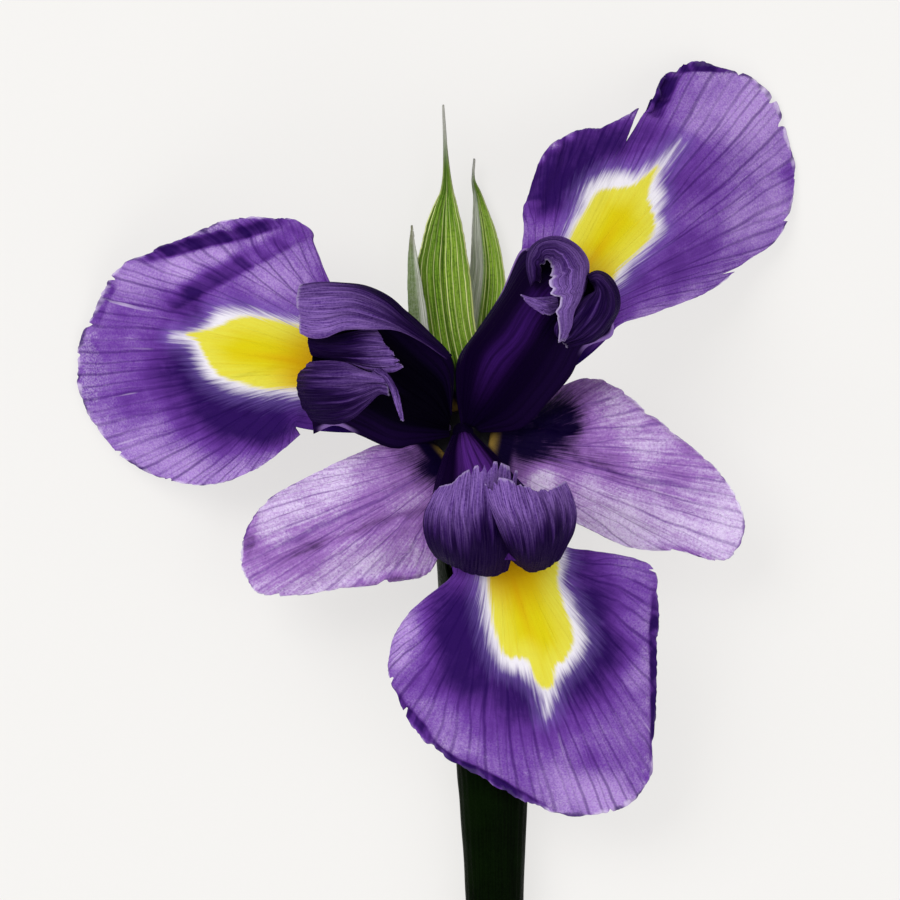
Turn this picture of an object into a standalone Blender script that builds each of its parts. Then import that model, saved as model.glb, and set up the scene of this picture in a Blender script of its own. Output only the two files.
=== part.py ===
"""A cut Dutch iris flower lying on its back, as picked: stem and spathe on the surface, flower facing up.

All shapes are worked out in millimetres and stored in metres. +Y runs along the stem towards the bract tips,
+X to the flower's right, +Z up from the surface, and z = 0 is the surface that the flower lies on.
The shapes are drawn round the throat, the point where stem line and flower axis meet, and the finished
flower is then shifted so that the origin lies under the middle of its box.
"""

import math

import bpy
import numpy as np
from mathutils import Vector

MM = 0.001

# Driving dimensions, in millimetres and degrees.
FLOWER_LEAN = 20.0  # the flower's axis leans this far from vertical, towards the bract tips
THROAT = np.array((0.0, -1.0, 20.5))  # middle of the perianth tube's rim
CLEARANCE = 0.3  # between neighbours that touch
TUBE_RIM_RADIUS = 4.7
CLAW_RING_RADIUS = 4.3  # falls and standards start on this ring, just above the rim
CLAW_RING_HEIGHT = 0.7
CLAW_RISE = 0.7  # how steeply falls and standards leave the tube
FALL_CLAW_HALF_WIDTH = 2.2
STANDARD_CLAW_HALF_WIDTH = 1.3
HAFT_ROWS = 5  # mesh rows from a fall's root to its hinge
STYLE_RING_RADIUS = 2.1
STYLE_RING_HEIGHT = 2.9
ARM_ROOT_HALF_WIDTH = 1.4
COLUMN_HEIGHTS = (0.5, 1.45, 2.4)
COLUMN_RADII = (1.7, 1.6, 1.7)
STAMEN_RING_RADIUS = 3.1
STAMEN_RISE = 1.6  # a filament stands this far straight up before it bends outwards
ANTHER_REACH = 0.78  # an anther ends this far along its arm
ANTHER_RADII = (0.5, 1.0, 1.15, 1.15, 1.0, 0.5)
FALL_THICKNESS = 0.5
STANDARD_THICKNESS = 0.45
STYLE_THICKNESS = 0.6
BRACT_THICKNESS = 0.35
NODE = -50.5  # where the bracts spring from the stem
SEAT_END = NODE + 7.0  # top of the stem, inside the bracts
SEAT_RADIUS = 4.1
SEAT_Z = 6.3
STEM_RADIUS = 4.35
# The stem's middle line and swelling from the cut end up to the node: (y, x, extra radius).
STEM_SWELLING = (
    (-118.0, 5.6, 0.0), (-100.0, 5.4, 0.02), (-84.0, 5.25, 0.15), (-72.0, 5.15, 0.5),
    (-60.0, 5.0, 1.2), (NODE - 3.0, 4.9, 1.6), (NODE - 1.0, 4.85, 1.4),
)

# Directions of the six petals round the flower's axis, in degrees clockwise from its back.
LEFT_ARM, RIGHT_ARM, LOWER_ARM = -65.0, 38.0, 162.0
BACK_STANDARD, RIGHT_STANDARD, LEFT_STANDARD = -13.0, 100.0, 229.0

lean = math.radians(FLOWER_LEAN)
AXIS = np.array((0.0, math.sin(lean), math.cos(lean)))
BACKWARD = np.array((0.0, math.cos(lean), -math.sin(lean)))
RIGHTWARD = np.array((1.0, 0.0, 0.0))
UP = np.array((0.0, 0.0, 1.0))

# Each fall: the hinge where haft meets blade (middle, half width), the slopes with which the blade leaves the
# hinge and meets its margin, and the margin itself, clockwise seen from above, as (x, y, z).
FALLS = {
    "fall_left": {
        "azimuth": LEFT_ARM,
        "hinge": (-23.0, 11.0, 26.0),
        "hinge_half_width": 9.0,
        "hinge_slope": 0.10,
        "margin_slope": -0.55,
        "margin": [
            (-25.5, 1.6, 22.5), (-29.5, -3.4, 19.5), (-36.0, -7.3, 14.5), (-42.5, -8.7, 10.0),
            (-49.0, -7.6, 6.0), (-55.2, -4.4, 2.8), (-60.0, 1.0, 0.7), (-62.5, 7.5, 0.3),
            (-62.6, 13.5, 0.7), (-60.4, 19.8, 3.0), (-57.3, 25.5, 6.0), (-52.0, 29.0, 9.5),
            (-45.5, 31.4, 13.0), (-39.0, 34.0, 16.0), (-32.0, 34.3, 19.5), (-26.2, 32.9, 22.0),
            (-23.4, 25.5, 24.0),
        ],
    },
    "fall_right": {
        "azimuth": RIGHT_ARM,
        "hinge": (16.6, 21.8, 26.0),
        "hinge_half_width": 9.0,
        "hinge_slope": 0.10,
        "margin_slope": -0.55,
        "margin": [
            (9.4, 31.0, 23.5), (10.2, 38.5, 20.5), (12.6, 44.7, 17.0), (17.7, 48.2, 14.0),
            (23.2, 49.8, 11.5), (28.2, 53.0, 9.0), (32.3, 58.3, 6.0), (38.8, 60.6, 3.8),
            (46.9, 57.8, 1.8), (51.0, 54.0, 0.6), (53.2, 47.1, 0.3), (54.2, 41.0, 0.5),
            (51.7, 32.4, 2.5), (46.0, 27.5, 6.0), (40.6, 23.1, 11.0), (32.6, 19.9, 16.0),
            (24.8, 17.4, 22.0),
        ],
    },
    "fall_lower": {
        "azimuth": LOWER_ARM,
        "hinge": (6.8, -20.0, 31.0),
        "hinge_half_width": 8.5,
        "hinge_slope": 0.15,
        "margin_slope": -0.60,
        "margin": [
            (15.6, -19.4, 29.0), (23.0, -19.2, 28.0), (30.4, -21.6, 26.5), (31.6, -29.0, 24.0),
            (31.5, -37.5, 20.5), (31.6, -46.1, 17.5), (30.4, -55.5, 15.0), (26.6, -60.2, 14.0),
            (20.0, -62.0, 13.5), (11.5, -60.8, 14.0), (3.4, -56.5, 15.5), (-4.2, -52.1, 17.5),
            (-9.0, -46.8, 19.5), (-11.6, -40.0, 22.0), (-11.6, -34.4, 24.5), (-8.6, -28.6, 26.5),
            (-1.6, -23.4, 28.5),
        ],
    },
}

# The same for the standards, whose blades open close to the throat.
STANDARDS = {
    "standard_left": {
        "azimuth": LEFT_STANDARD,
        "hinge": (-6.6, -7.4, 25.5),
        "hinge_half_width": 3.4,
        "hinge_slope": 0.25,
        "margin_slope": -0.35,
        "margin": [
            (-3.6, -18.0, 22.0), (-5.4, -22.3, 19.5), (-10.9, -24.0, 17.5), (-18.9, -25.1, 16.0),
            (-27.0, -26.4, 14.0), (-33.4, -25.8, 13.0), (-36.0, -21.5, 13.0), (-34.9, -15.7, 15.0),
            (-31.0, -10.9, 17.5), (-25.3, -7.6, 20.5), (-18.9, -4.7, 23.0), (-13.0, -2.2, 24.2),
            (-8.8, -0.6, 24.6),
        ],
    },
    "standard_right": {
        "azimuth": RIGHT_STANDARD,
        "hinge": (9.6, -3.4, 22.8),
        "hinge_half_width": 2.8,
        "hinge_slope": 0.20,
        "margin_slope": -0.30,
        "margin": [
            (14.2, 6.4, 15.5), (19.5, 8.4, 15.5), (24.7, 6.9, 17.5), (30.0, 2.9, 18.5),
            (35.6, -1.6, 18.0), (40.8, -6.2, 16.5), (44.4, -11.0, 14.5), (45.4, -16.4, 12.5),
            (42.2, -20.8, 12.0), (35.2, -19.3, 14.0), (27.5, -18.7, 16.5), (21.0, -15.8, 19.0),
            (13.6, -11.0, 22.0),
        ],
    },
    "standard_back": {
        "azimuth": BACK_STANDARD,
        "hinge": (-5.0, 8.2, 20.2),
        "hinge_half_width": 2.3,
        "hinge_slope": -0.20,
        "margin_slope": -0.35,
        "margin": [
            (-11.0, 4.6, 17.0), (-18.0, 4.6, 14.0), (-26.0, 6.2, 11.0), (-34.0, 9.5, 8.0),
            (-40.5, 13.5, 5.5), (-43.0, 18.5, 3.8), (-40.5, 22.5, 3.8), (-34.0, 23.4, 6.0),
            (-26.0, 21.6, 9.5), (-18.0, 18.0, 13.0), (-10.5, 13.4, 16.5),
        ],
    },
}

# Each style arm: the middle of its roof just outside the throat, then the arm's edge, clockwise from above.
ARMS = {
    "style_arm_left": {
        "azimuth": LEFT_ARM,
        "hinge": (-6.5, 5.6, 27.2),
        "hinge_half_width": 3.6,
        "hinge_slope": 0.75,
        "margin_slope": -0.25,
        "margin": [
            (-6.6, 0.2, 26.0), (-12.0, -1.7, 26.4), (-17.0, -0.4, 27.6), (-22.0, 1.6, 29.0),
            (-25.8, 6.0, 32.5), (-26.6, 12.0, 34.0), (-25.8, 18.0, 33.0), (-21.6, 22.0, 31.0),
            (-15.7, 22.4, 29.0), (-10.6, 19.9, 27.0), (-6.2, 15.8, 25.5), (-2.9, 11.2, 24.5),
        ],
    },
    "style_arm_right": {
        "azimuth": RIGHT_ARM,
        "hinge": (4.6, 6.4, 27.2),
        "hinge_half_width": 3.6,
        "hinge_slope": 0.70,
        "margin_slope": -0.25,
        "margin": [
            (-0.6, 11.6, 24.5), (2.0, 16.8, 26.0), (5.2, 21.8, 28.5), (8.8, 26.9, 31.0),
            (13.6, 28.6, 33.0), (18.6, 26.2, 34.0), (22.0, 20.8, 33.0), (20.8, 15.2, 31.0),
            (17.2, 10.4, 29.0), (13.6, 6.6, 27.5), (9.8, 3.2, 26.0),
        ],
    },
    "style_arm_lower": {
        "azimuth": LOWER_ARM,
        "hinge": (2.1, -6.4, 30.2),
        "hinge_half_width": 3.2,
        "hinge_slope": 1.10,
        "margin_slope": 0.35,
        "margin": [
            (6.4, -6.4, 30.0), (10.8, -9.6, 33.0), (14.4, -13.6, 36.5), (14.6, -18.0, 40.5),
            (10.6, -20.6, 42.5), (6.4, -20.6, 43.5), (1.0, -20.6, 42.5), (-3.8, -18.0, 40.5),
            (-4.8, -13.2, 36.5), (-3.2, -9.2, 33.0), (-1.2, -6.2, 30.2),
        ],
    },
}

# Crest lobes: each curls from its root on an arm's edge, setting out "forward" and turning towards "curl".
LOBES = {
    "style_arm_left": [
        {"root": (-25.6, 6.6, 32.6), "forward": (-0.45, -0.15, 0.9), "curl": (0.94, -0.06, 0.30),
         "length": 21.0, "bend": 135.0, "widths": (9.0, 11.0, 3.0)},
        {"root": (-25.6, 15.0, 33.6), "forward": (-0.30, 0.10, 0.9), "curl": (0.95, -0.25, 0.22),
         "length": 18.0, "bend": 115.0, "widths": (7.0, 8.0, 7.5)},
    ],
    "style_arm_right": [
        {"root": (14.2, 26.6, 33.4), "forward": (0.05, 0.30, 0.95), "curl": (-0.25, -0.92, 0.30),
         "length": 18.0, "bend": 150.0, "widths": (8.0, 9.0, 4.0)},
        {"root": (20.6, 19.6, 33.2), "forward": (0.40, 0.15, 0.9), "curl": (-0.65, -0.70, 0.28),
         "length": 18.0, "bend": 160.0, "widths": (8.0, 9.5, 6.0)},
    ],
    "style_arm_lower": [
        {"root": (11.0, -19.6, 42.2), "forward": (0.14, -0.42, 0.9), "curl": (0.02, 0.93, 0.36),
         "length": 20.0, "bend": 125.0, "widths": (8.5, 12.5, 9.5)},
        {"root": (0.4, -19.6, 42.2), "forward": (-0.18, -0.42, 0.9), "curl": (0.06, 0.93, 0.36),
         "length": 21.0, "bend": 125.0, "widths": (8.5, 13.0, 10.5)},
    ],
}

# Bracts as stations along the stem line: (y, middle x, underside z, radius, roll, half wrap in degrees).
BRACTS = {
    "outer_bract": [
        (-50.0, 4.8, 0.3, 6.0, 0, 172), (-40.0, 4.5, 0.3, 6.9, 0, 160), (-28.0, 4.1, 0.3, 7.8, 0, 138),
        (-15.0, 3.6, 0.3, 8.2, 0, 112), (0.0, 2.4, 0.3, 7.9, 0, 82), (15.0, 1.6, 0.5, 7.8, 0, 43),
        (25.0, 1.6, 0.8, 9.4, 0, 34), (32.0, 1.7, 1.1, 9.4, 0, 25), (38.0, 1.8, 1.5, 8.0, 0, 13),
        (44.2, 1.9, 2.0, 6.0, 0, 3),
    ],
    "inner_bract": [
        (-48.0, 4.8, 1.3, 5.0, 0, 165), (-40.0, 4.5, 1.3, 5.8, 0, 148), (-28.0, 4.0, 1.3, 6.5, 0, 126),
        (-15.0, 3.3, 1.5, 6.6, 0, 95), (0.0, 1.4, 2.6, 6.0, 0, 66), (15.0, -2.0, 4.2, 6.3, 0, 45),
        (25.0, -3.3, 4.7, 6.6, 0, 42), (31.0, -3.4, 5.0, 6.1, 0, 33), (36.0, -3.3, 5.2, 5.5, 0, 20),
        (40.0, -3.2, 5.4, 4.0, 0, 10), (45.5, -3.1, 5.9, 3.0, 0, 6), (53.0, -3.0, 6.5, 3.0, 0, 4),
    ],
    "membrane_bract": [
        (-22.0, 3.5, 2.1, 5.7, -78, 20), (-10.0, 3.0, 2.4, 5.7, -70, 22), (0.0, 1.3, 3.5, 5.2, -55, 20),
        (8.0, -2.6, 6.3, 5.6, -25, 18), (16.0, -6.0, 6.6, 6.0, 0, 17), (24.0, -7.6, 6.9, 6.0, 0, 15),
        (29.0, -8.4, 6.6, 6.0, 0, 9), (33.4, -8.8, 6.4, 6.0, 0, 2),
    ],
}

MATERIALS = {
    "petal": ((0.16, 0.05, 0.33), 0.55),
    "standard": ((0.38, 0.22, 0.58), 0.55),
    "style": ((0.05, 0.012, 0.13), 0.50),
    "bract": ((0.20, 0.36, 0.07), 0.50),
    "membrane": ((0.55, 0.58, 0.48), 0.55),
    "stem": ((0.03, 0.09, 0.015), 0.45),
    "tube": ((0.36, 0.38, 0.10), 0.50),
    "filament": ((0.45, 0.36, 0.60), 0.50),
    "pollen": ((0.72, 0.60, 0.30), 0.80),
}


def clear_scene():
    for obj in list(bpy.data.objects):
        bpy.data.objects.remove(obj)


def make_materials():
    made = {}
    for name, (colour, roughness) in MATERIALS.items():
        material = bpy.data.materials.new(name)
        material.use_nodes = True
        shader = material.node_tree.nodes["Principled BSDF"]
        shader.inputs["Base Color"].default_value = (*colour, 1.0)
        shader.inputs["Roughness"].default_value = roughness
        shader.inputs["Metallic"].default_value = 0.0
        made[name] = material
    return made


def unit(vector):
    vector = np.asarray(vector, float)
    return vector / np.linalg.norm(vector)


def smooth_line(points, places):
    """A Catmull-Rom curve through the points, read at places from 0 (first point) to 1 (last point)."""
    points = np.asarray(points, float)
    padded = np.vstack([2 * points[0] - points[1], points, 2 * points[-1] - points[-2]])
    along = np.clip(np.asarray(places, float), 0, 1) * (len(points) - 1)
    first = np.minimum(along.astype(int), len(points) - 2)
    u = (along - first)[:, None]
    a, b, c, d = (padded[first + k] for k in range(4))
    return b + 0.5 * u * (c - a + u * (2 * a - 5 * b + 4 * c - d + u * (3 * (b - c) + d - a)))


def hermite(start, start_pull, end, end_pull, u):
    """The cubic from start to end that leaves and arrives along the given pulls."""
    return (
        (2 * u**3 - 3 * u**2 + 1) * start
        + (u**3 - 2 * u**2 + u) * start_pull
        + (3 * u**2 - 2 * u**3) * end
        + (u**3 - u**2) * end_pull
    )


def ring_point(azimuth, radius, height):
    """A point on a ring round the flower's axis, that height above the throat."""
    turn = math.radians(azimuth)
    return THROAT + radius * (math.cos(turn) * BACKWARD + math.sin(turn) * RIGHTWARD) + height * AXIS


def ring_across(azimuth):
    """The clockwise direction along that ring."""
    turn = math.radians(azimuth)
    return -math.sin(turn) * BACKWARD + math.cos(turn) * RIGHTWARD


def leaf_grid(leaf, root, root_half_width, rise, claw_rows, blade_rows, columns):
    """The middle surface of a petal or style arm: a claw to the hinge, then a blade fanned to its margin."""
    across = ring_across(leaf["azimuth"])
    turn = math.radians(leaf["azimuth"])
    outward = np.array((math.sin(turn), math.cos(turn), 0.0))
    sideways = np.cross(outward, UP)
    side = np.linspace(-1, 1, columns + 1)[:, None]
    base = root + side * root_half_width * across
    hinge = np.array(leaf["hinge"]) + side * leaf["hinge_half_width"] * sideways
    margin = smooth_line(leaf["margin"], np.linspace(0, 1, columns + 1))
    reach = np.linalg.norm(hinge - base, axis=1, keepdims=True)
    hinge_pull = unit(outward + leaf["hinge_slope"] * UP)
    rows = [
        hermite(base, rise * AXIS * reach, hinge, hinge_pull * reach, u)
        for u in np.linspace(0, 1, claw_rows, endpoint=False)
    ]
    fan = margin - hinge
    fan[:, 2] = 0
    span = np.linalg.norm(fan, axis=1, keepdims=True)
    fan = fan / span
    leaving = (0.5 * outward + 0.5 * fan + leaf["hinge_slope"] * UP) * span
    arriving = (fan + leaf["margin_slope"] * UP) * span
    rows += [hermite(hinge, leaving, margin, arriving, u) for u in np.linspace(0, 1, blade_rows + 1)]
    return np.array(rows)


def lobe_grid(lobe, rows, columns):
    """The middle surface of a crest lobe: a strip that sets out along forward and curls towards curl."""
    forward = unit(lobe["forward"])
    curl = np.array(lobe["curl"]) - forward * np.dot(lobe["curl"], forward)
    curl = unit(curl)
    across = np.cross(curl, forward)
    bend = math.radians(lobe["bend"])
    radius = lobe["length"] / bend
    side = np.linspace(-0.5, 0.5, columns + 1)[:, None]
    widths = smooth_line([(w, 0, 0) for w in lobe["widths"]], np.linspace(0, 1, rows + 1))[:, 0]
    grid = []
    for width, turned in zip(widths, np.linspace(0, bend, rows + 1)):
        middle = np.array(lobe["root"]) + radius * (
            math.sin(turned) * forward + (1 - math.cos(turned)) * curl
        )
        inward = math.cos(turned) * curl - math.sin(turned) * forward
        cupped = 0.18 * width * (4 * side**2)
        grid.append(middle + side * width * across + cupped * inward)
    return np.array(grid)


def bract_grid(stations, rows, columns):
    """The middle surface of a bract: arcs round the stem line, open upwards."""
    sampled = smooth_line(stations, np.linspace(0, 1, rows + 1))
    grid = []
    for y, x, under, radius, roll, wrap in sampled:
        angles = np.radians(roll + np.linspace(1, -1, columns + 1) * max(wrap, 1.5))
        grid.append(
            np.stack(
                [
                    x + radius * np.sin(angles),
                    np.full(columns + 1, y),
                    under + radius * (1 - np.cos(angles)),
                ],
                axis=1,
            )
        )
    return np.array(grid)


def add_mesh(name, points, faces, material, collection):
    mesh = bpy.data.meshes.new(name)
    mesh.from_pydata([Vector(p) * MM for p in points], [], faces)
    mesh.shade_smooth()
    mesh.materials.append(material)
    obj = bpy.data.objects.new(name, mesh)
    collection.objects.link(obj)
    return obj


def add_sheet(name, grid, thickness, material, collection):
    """A grid of points as an open sheet, made solid by Solidify about its middle surface."""
    rows, columns = grid.shape[:2]
    corner = np.arange(rows * columns).reshape(rows, columns)
    faces = [
        (int(corner[r, c]), int(corner[r, c + 1]), int(corner[r + 1, c + 1]), int(corner[r + 1, c]))
        for r in range(rows - 1)
        for c in range(columns - 1)
    ]
    obj = add_mesh(name, grid.reshape(-1, 3), faces, material, collection)
    solidify = obj.modifiers.new("thickness", "SOLIDIFY")
    solidify.thickness = thickness * MM
    solidify.offset = 0.0
    return obj


def add_stalk(name, path, radii, material, collection, sides=14, lobes=0, lobe_depth=0.0, end_slant=0.0):
    """A stalk lofted along a path: round, or with lobes round its section, and with a slanted first end."""
    path = np.asarray(path, float)
    tangents = np.gradient(path, axis=0)
    angles = np.linspace(0, 2 * math.pi, sides, endpoint=False)
    points, normal = [], None
    for index, (centre, radius) in enumerate(zip(path, radii)):
        tangent = unit(tangents[index])
        normal = UP if normal is None else normal
        normal = unit(normal - tangent * np.dot(normal, tangent))
        sideways = np.cross(tangent, normal)
        for angle in angles:
            reach = radius * (1 + lobe_depth * math.cos(lobes * angle))
            slant = end_slant * radius * math.cos(angle) if index == 0 else 0.0
            points.append(
                centre + reach * (math.cos(angle) * normal + math.sin(angle) * sideways) + slant * tangent
            )
    faces = [
        (
            row * sides + side,
            row * sides + (side + 1) % sides,
            (row + 1) * sides + (side + 1) % sides,
            (row + 1) * sides + side,
        )
        for row in range(len(path) - 1)
        for side in range(sides)
    ]
    last = (len(path) - 1) * sides
    faces.append(tuple(reversed(range(sides))))
    faces.append(tuple(range(last, last + sides)))
    return add_mesh(name, points, faces, material, collection)


def join_lobe(arm, lobe):
    """Unites a crest lobe with its arm, so that each style arm is one solid."""
    lobe.hide_render = True
    lobe.display_type = "WIRE"
    union = arm.modifiers.new("crest", "BOOLEAN")
    union.operation = "UNION"
    union.solver = "EXACT"
    union.object = lobe


def build_petals(materials, collection):
    """Falls and standards. Returns the middle line of each fall's haft, for the stamens."""
    hafts = {}
    for name, fall in FALLS.items():
        root = ring_point(fall["azimuth"], CLAW_RING_RADIUS, CLAW_RING_HEIGHT)
        grid = leaf_grid(fall, root, FALL_CLAW_HALF_WIDTH, CLAW_RISE, HAFT_ROWS, 9, 20)
        add_sheet(name, grid, FALL_THICKNESS, materials["petal"], collection)
        hafts[fall["azimuth"]] = grid[: HAFT_ROWS + 1, 10]
    for name, standard in STANDARDS.items():
        root = ring_point(standard["azimuth"], CLAW_RING_RADIUS, CLAW_RING_HEIGHT)
        grid = leaf_grid(standard, root, STANDARD_CLAW_HALF_WIDTH, CLAW_RISE, 3, 7, 16)
        add_sheet(name, grid, STANDARD_THICKNESS, materials["standard"], collection)
    return hafts


def build_style(materials, collection, lobe_collection):
    """The style column and its three arms. Returns the middle line of each arm."""
    ridges = {}
    for name, arm in ARMS.items():
        root = ring_point(arm["azimuth"], STYLE_RING_RADIUS, STYLE_RING_HEIGHT)
        grid = leaf_grid(arm, root, ARM_ROOT_HALF_WIDTH, 1.0, 2, 7, 14)
        body = add_sheet(name, grid, STYLE_THICKNESS, materials["style"], collection)
        for number, lobe in enumerate(LOBES[name]):
            sheet = lobe_grid(lobe, 7, 5)
            lobe_name = f"{name}_crest_{number}"
            join_lobe(body, add_sheet(lobe_name, sheet, STYLE_THICKNESS, materials["style"], lobe_collection))
        ridges[arm["azimuth"]] = grid[:, 7]
    column = [THROAT + height * AXIS for height in COLUMN_HEIGHTS]
    add_stalk("style_column", column, COLUMN_RADII, materials["style"], collection)
    return ridges


def build_stamens(materials, collection, hafts, ridges):
    """A filament and an anther in the gap between each haft and the style arm above it."""
    names = {LEFT_ARM: "left", RIGHT_ARM: "right", LOWER_ARM: "lower"}
    places = np.linspace(0, 1, 9)
    for azimuth, side in names.items():
        foot = ring_point(azimuth, STAMEN_RING_RADIUS, CLAW_RING_HEIGHT)
        ridge = smooth_line(ridges[azimuth], places * ANTHER_REACH)
        haft = smooth_line(hafts[azimuth], places)
        line = np.vstack([foot, foot + STAMEN_RISE * AXIS, (0.5 * (ridge + haft))[3:]])
        middle = smooth_line(line, np.linspace(0, 1, 15))
        filament, anther = middle[:9], middle[9:]
        add_stalk(f"filament_{side}", filament, np.linspace(0.65, 0.45, len(filament)),
                  materials["filament"], collection, sides=8)
        add_stalk(f"anther_{side}", anther, ANTHER_RADII, materials["pollen"], collection,
                  sides=10, lobes=2, lobe_depth=0.15)


def build_spathe(materials, collection):
    for name, stations in BRACTS.items():
        rows, columns = (8, 4) if name == "membrane_bract" else (16, 12)
        slot = "membrane" if name == "membrane_bract" else "bract"
        add_sheet(name, bract_grid(stations, rows, columns), BRACT_THICKNESS, materials[slot], collection)


def build_stalks(materials, collection):
    """Stem, pedicel, ovary and perianth tube, from the cut end to the throat."""
    path = [(x, y, STEM_RADIUS + extra) for y, x, extra in STEM_SWELLING]
    radii = [STEM_RADIUS + extra for _, _, extra in STEM_SWELLING]
    path += [(4.8, NODE - 0.3, SEAT_Z), (4.6, SEAT_END, SEAT_Z)]
    radii += [SEAT_RADIUS, SEAT_RADIUS]
    add_stalk("stem", path, radii, materials["stem"], collection, sides=20, end_slant=0.35)
    add_stalk("pedicel", [(4.6, SEAT_END + CLEARANCE, SEAT_Z), (4.5, -40.5, 6.5), (4.3, -37.4, 6.7)],
              [2.6, 2.3, 2.5], materials["bract"], collection, sides=12)
    places = np.linspace(0, 1, 9)
    ovary = [(4.3, -37.0, 6.8), (4.0, -30.0, 7.2), (3.6, -23.5, 8.2), (2.9, -17.4, 10.2)]
    add_stalk("ovary", smooth_line(ovary, places), [2.5, 3.0, 3.3, 3.5, 3.5, 3.4, 3.2, 2.9, 2.6],
              materials["bract"], collection, sides=18, lobes=3, lobe_depth=0.10)
    rim = THROAT - 0.4 * AXIS
    tube = [(2.8, -16.9, 10.5), (2.0, -11.6, 12.7), (0.8, -6.2, 15.4), rim - 2.2 * AXIS, rim]
    tube_radii = [2.4, 2.4, 2.5, 2.7, 3.0, 3.4, 3.9, 4.3, TUBE_RIM_RADIUS]
    add_stalk("perianth_tube", smooth_line(tube, places), tube_radii, materials["tube"], collection, sides=18)


def centre_on_origin(collection):
    """Shifts every part alike, so that the origin lies under the middle of the flower's box."""
    graph = bpy.context.evaluated_depsgraph_get()
    corners = []
    for obj in collection.objects:
        evaluated = obj.evaluated_get(graph)
        mesh = evaluated.to_mesh()
        corners += [v.co.copy() for v in mesh.vertices]
        evaluated.to_mesh_clear()
    corners = np.array(corners)
    low, high = corners.min(axis=0), corners.max(axis=0)
    shift = Vector((-(low[0] + high[0]) / 2, -(low[1] + high[1]) / 2, -low[2]))
    for obj in bpy.data.objects:
        obj.location = shift


def main():
    clear_scene()
    collection = bpy.data.collections.new("iris_flower")
    crests = bpy.data.collections.new("crest_lobes")
    bpy.context.scene.collection.children.link(collection)
    bpy.context.scene.collection.children.link(crests)
    materials = make_materials()
    build_stalks(materials, collection)
    build_spathe(materials, collection)
    hafts = build_petals(materials, collection)
    ridges = build_style(materials, collection, crests)
    build_stamens(materials, collection, hafts, ridges)
    centre_on_origin(collection)


main()
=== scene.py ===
import math

import bpy
import numpy as np
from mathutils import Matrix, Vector


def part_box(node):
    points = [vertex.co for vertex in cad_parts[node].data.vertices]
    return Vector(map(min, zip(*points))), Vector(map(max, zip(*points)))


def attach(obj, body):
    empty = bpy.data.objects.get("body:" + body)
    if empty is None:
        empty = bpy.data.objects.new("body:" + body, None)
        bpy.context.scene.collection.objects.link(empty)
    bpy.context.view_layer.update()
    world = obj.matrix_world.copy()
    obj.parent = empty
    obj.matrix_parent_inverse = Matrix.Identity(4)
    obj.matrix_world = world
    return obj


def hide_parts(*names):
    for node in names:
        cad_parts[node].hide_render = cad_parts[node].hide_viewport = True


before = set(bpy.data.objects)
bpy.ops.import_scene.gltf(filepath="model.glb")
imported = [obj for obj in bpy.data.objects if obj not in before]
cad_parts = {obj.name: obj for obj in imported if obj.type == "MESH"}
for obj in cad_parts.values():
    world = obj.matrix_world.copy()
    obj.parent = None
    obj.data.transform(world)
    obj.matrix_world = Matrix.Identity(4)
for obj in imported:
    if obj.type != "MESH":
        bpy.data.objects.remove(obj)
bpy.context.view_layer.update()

MM = 0.001

# ---------------------------------------------------------------------------------------------------------
# Dimensions, in millimetres and degrees. The flower's throat is at THROAT in the drawing that the tables
# below use; +Y runs along the stem towards the bract tips, +X to the flower's right and +Z up.
FLOWER_LEAN = 20.0
THROAT = np.array((0.0, -1.0, 20.5))
COLUMN_MIDDLE = 1.45  # height of the style column's middle above the throat
CLAW_RING_RADIUS, CLAW_RING_HEIGHT, CLAW_RISE = 4.3, 0.7, 0.7
FALL_CLAW_HALF_WIDTH, STANDARD_CLAW_HALF_WIDTH = 2.5, 1.7
PETAL_THICKNESS, CREST_THICKNESS, BRACT_THICKNESS = 0.22, 0.2, 0.25
LEFT_ARM, RIGHT_ARM, LOWER_ARM = -65.0, 38.0, 162.0
BACK_STANDARD, RIGHT_STANDARD, LEFT_STANDARD = -13.0, 100.0, 229.0
NODE, STEM_RADIUS = -50.5, 4.35

lean = math.radians(FLOWER_LEAN)
AXIS = np.array((0.0, math.sin(lean), math.cos(lean)))
BACKWARD = np.array((0.0, math.cos(lean), -math.sin(lean)))
RIGHTWARD = np.array((1.0, 0.0, 0.0))
UP = np.array((0.0, 0.0, 1.0))

low, high = (np.array(corner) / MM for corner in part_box("style_column"))
DRAWING_TO_FRAME = (low + high) / 2 - (THROAT + COLUMN_MIDDLE * AXIS)

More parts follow.
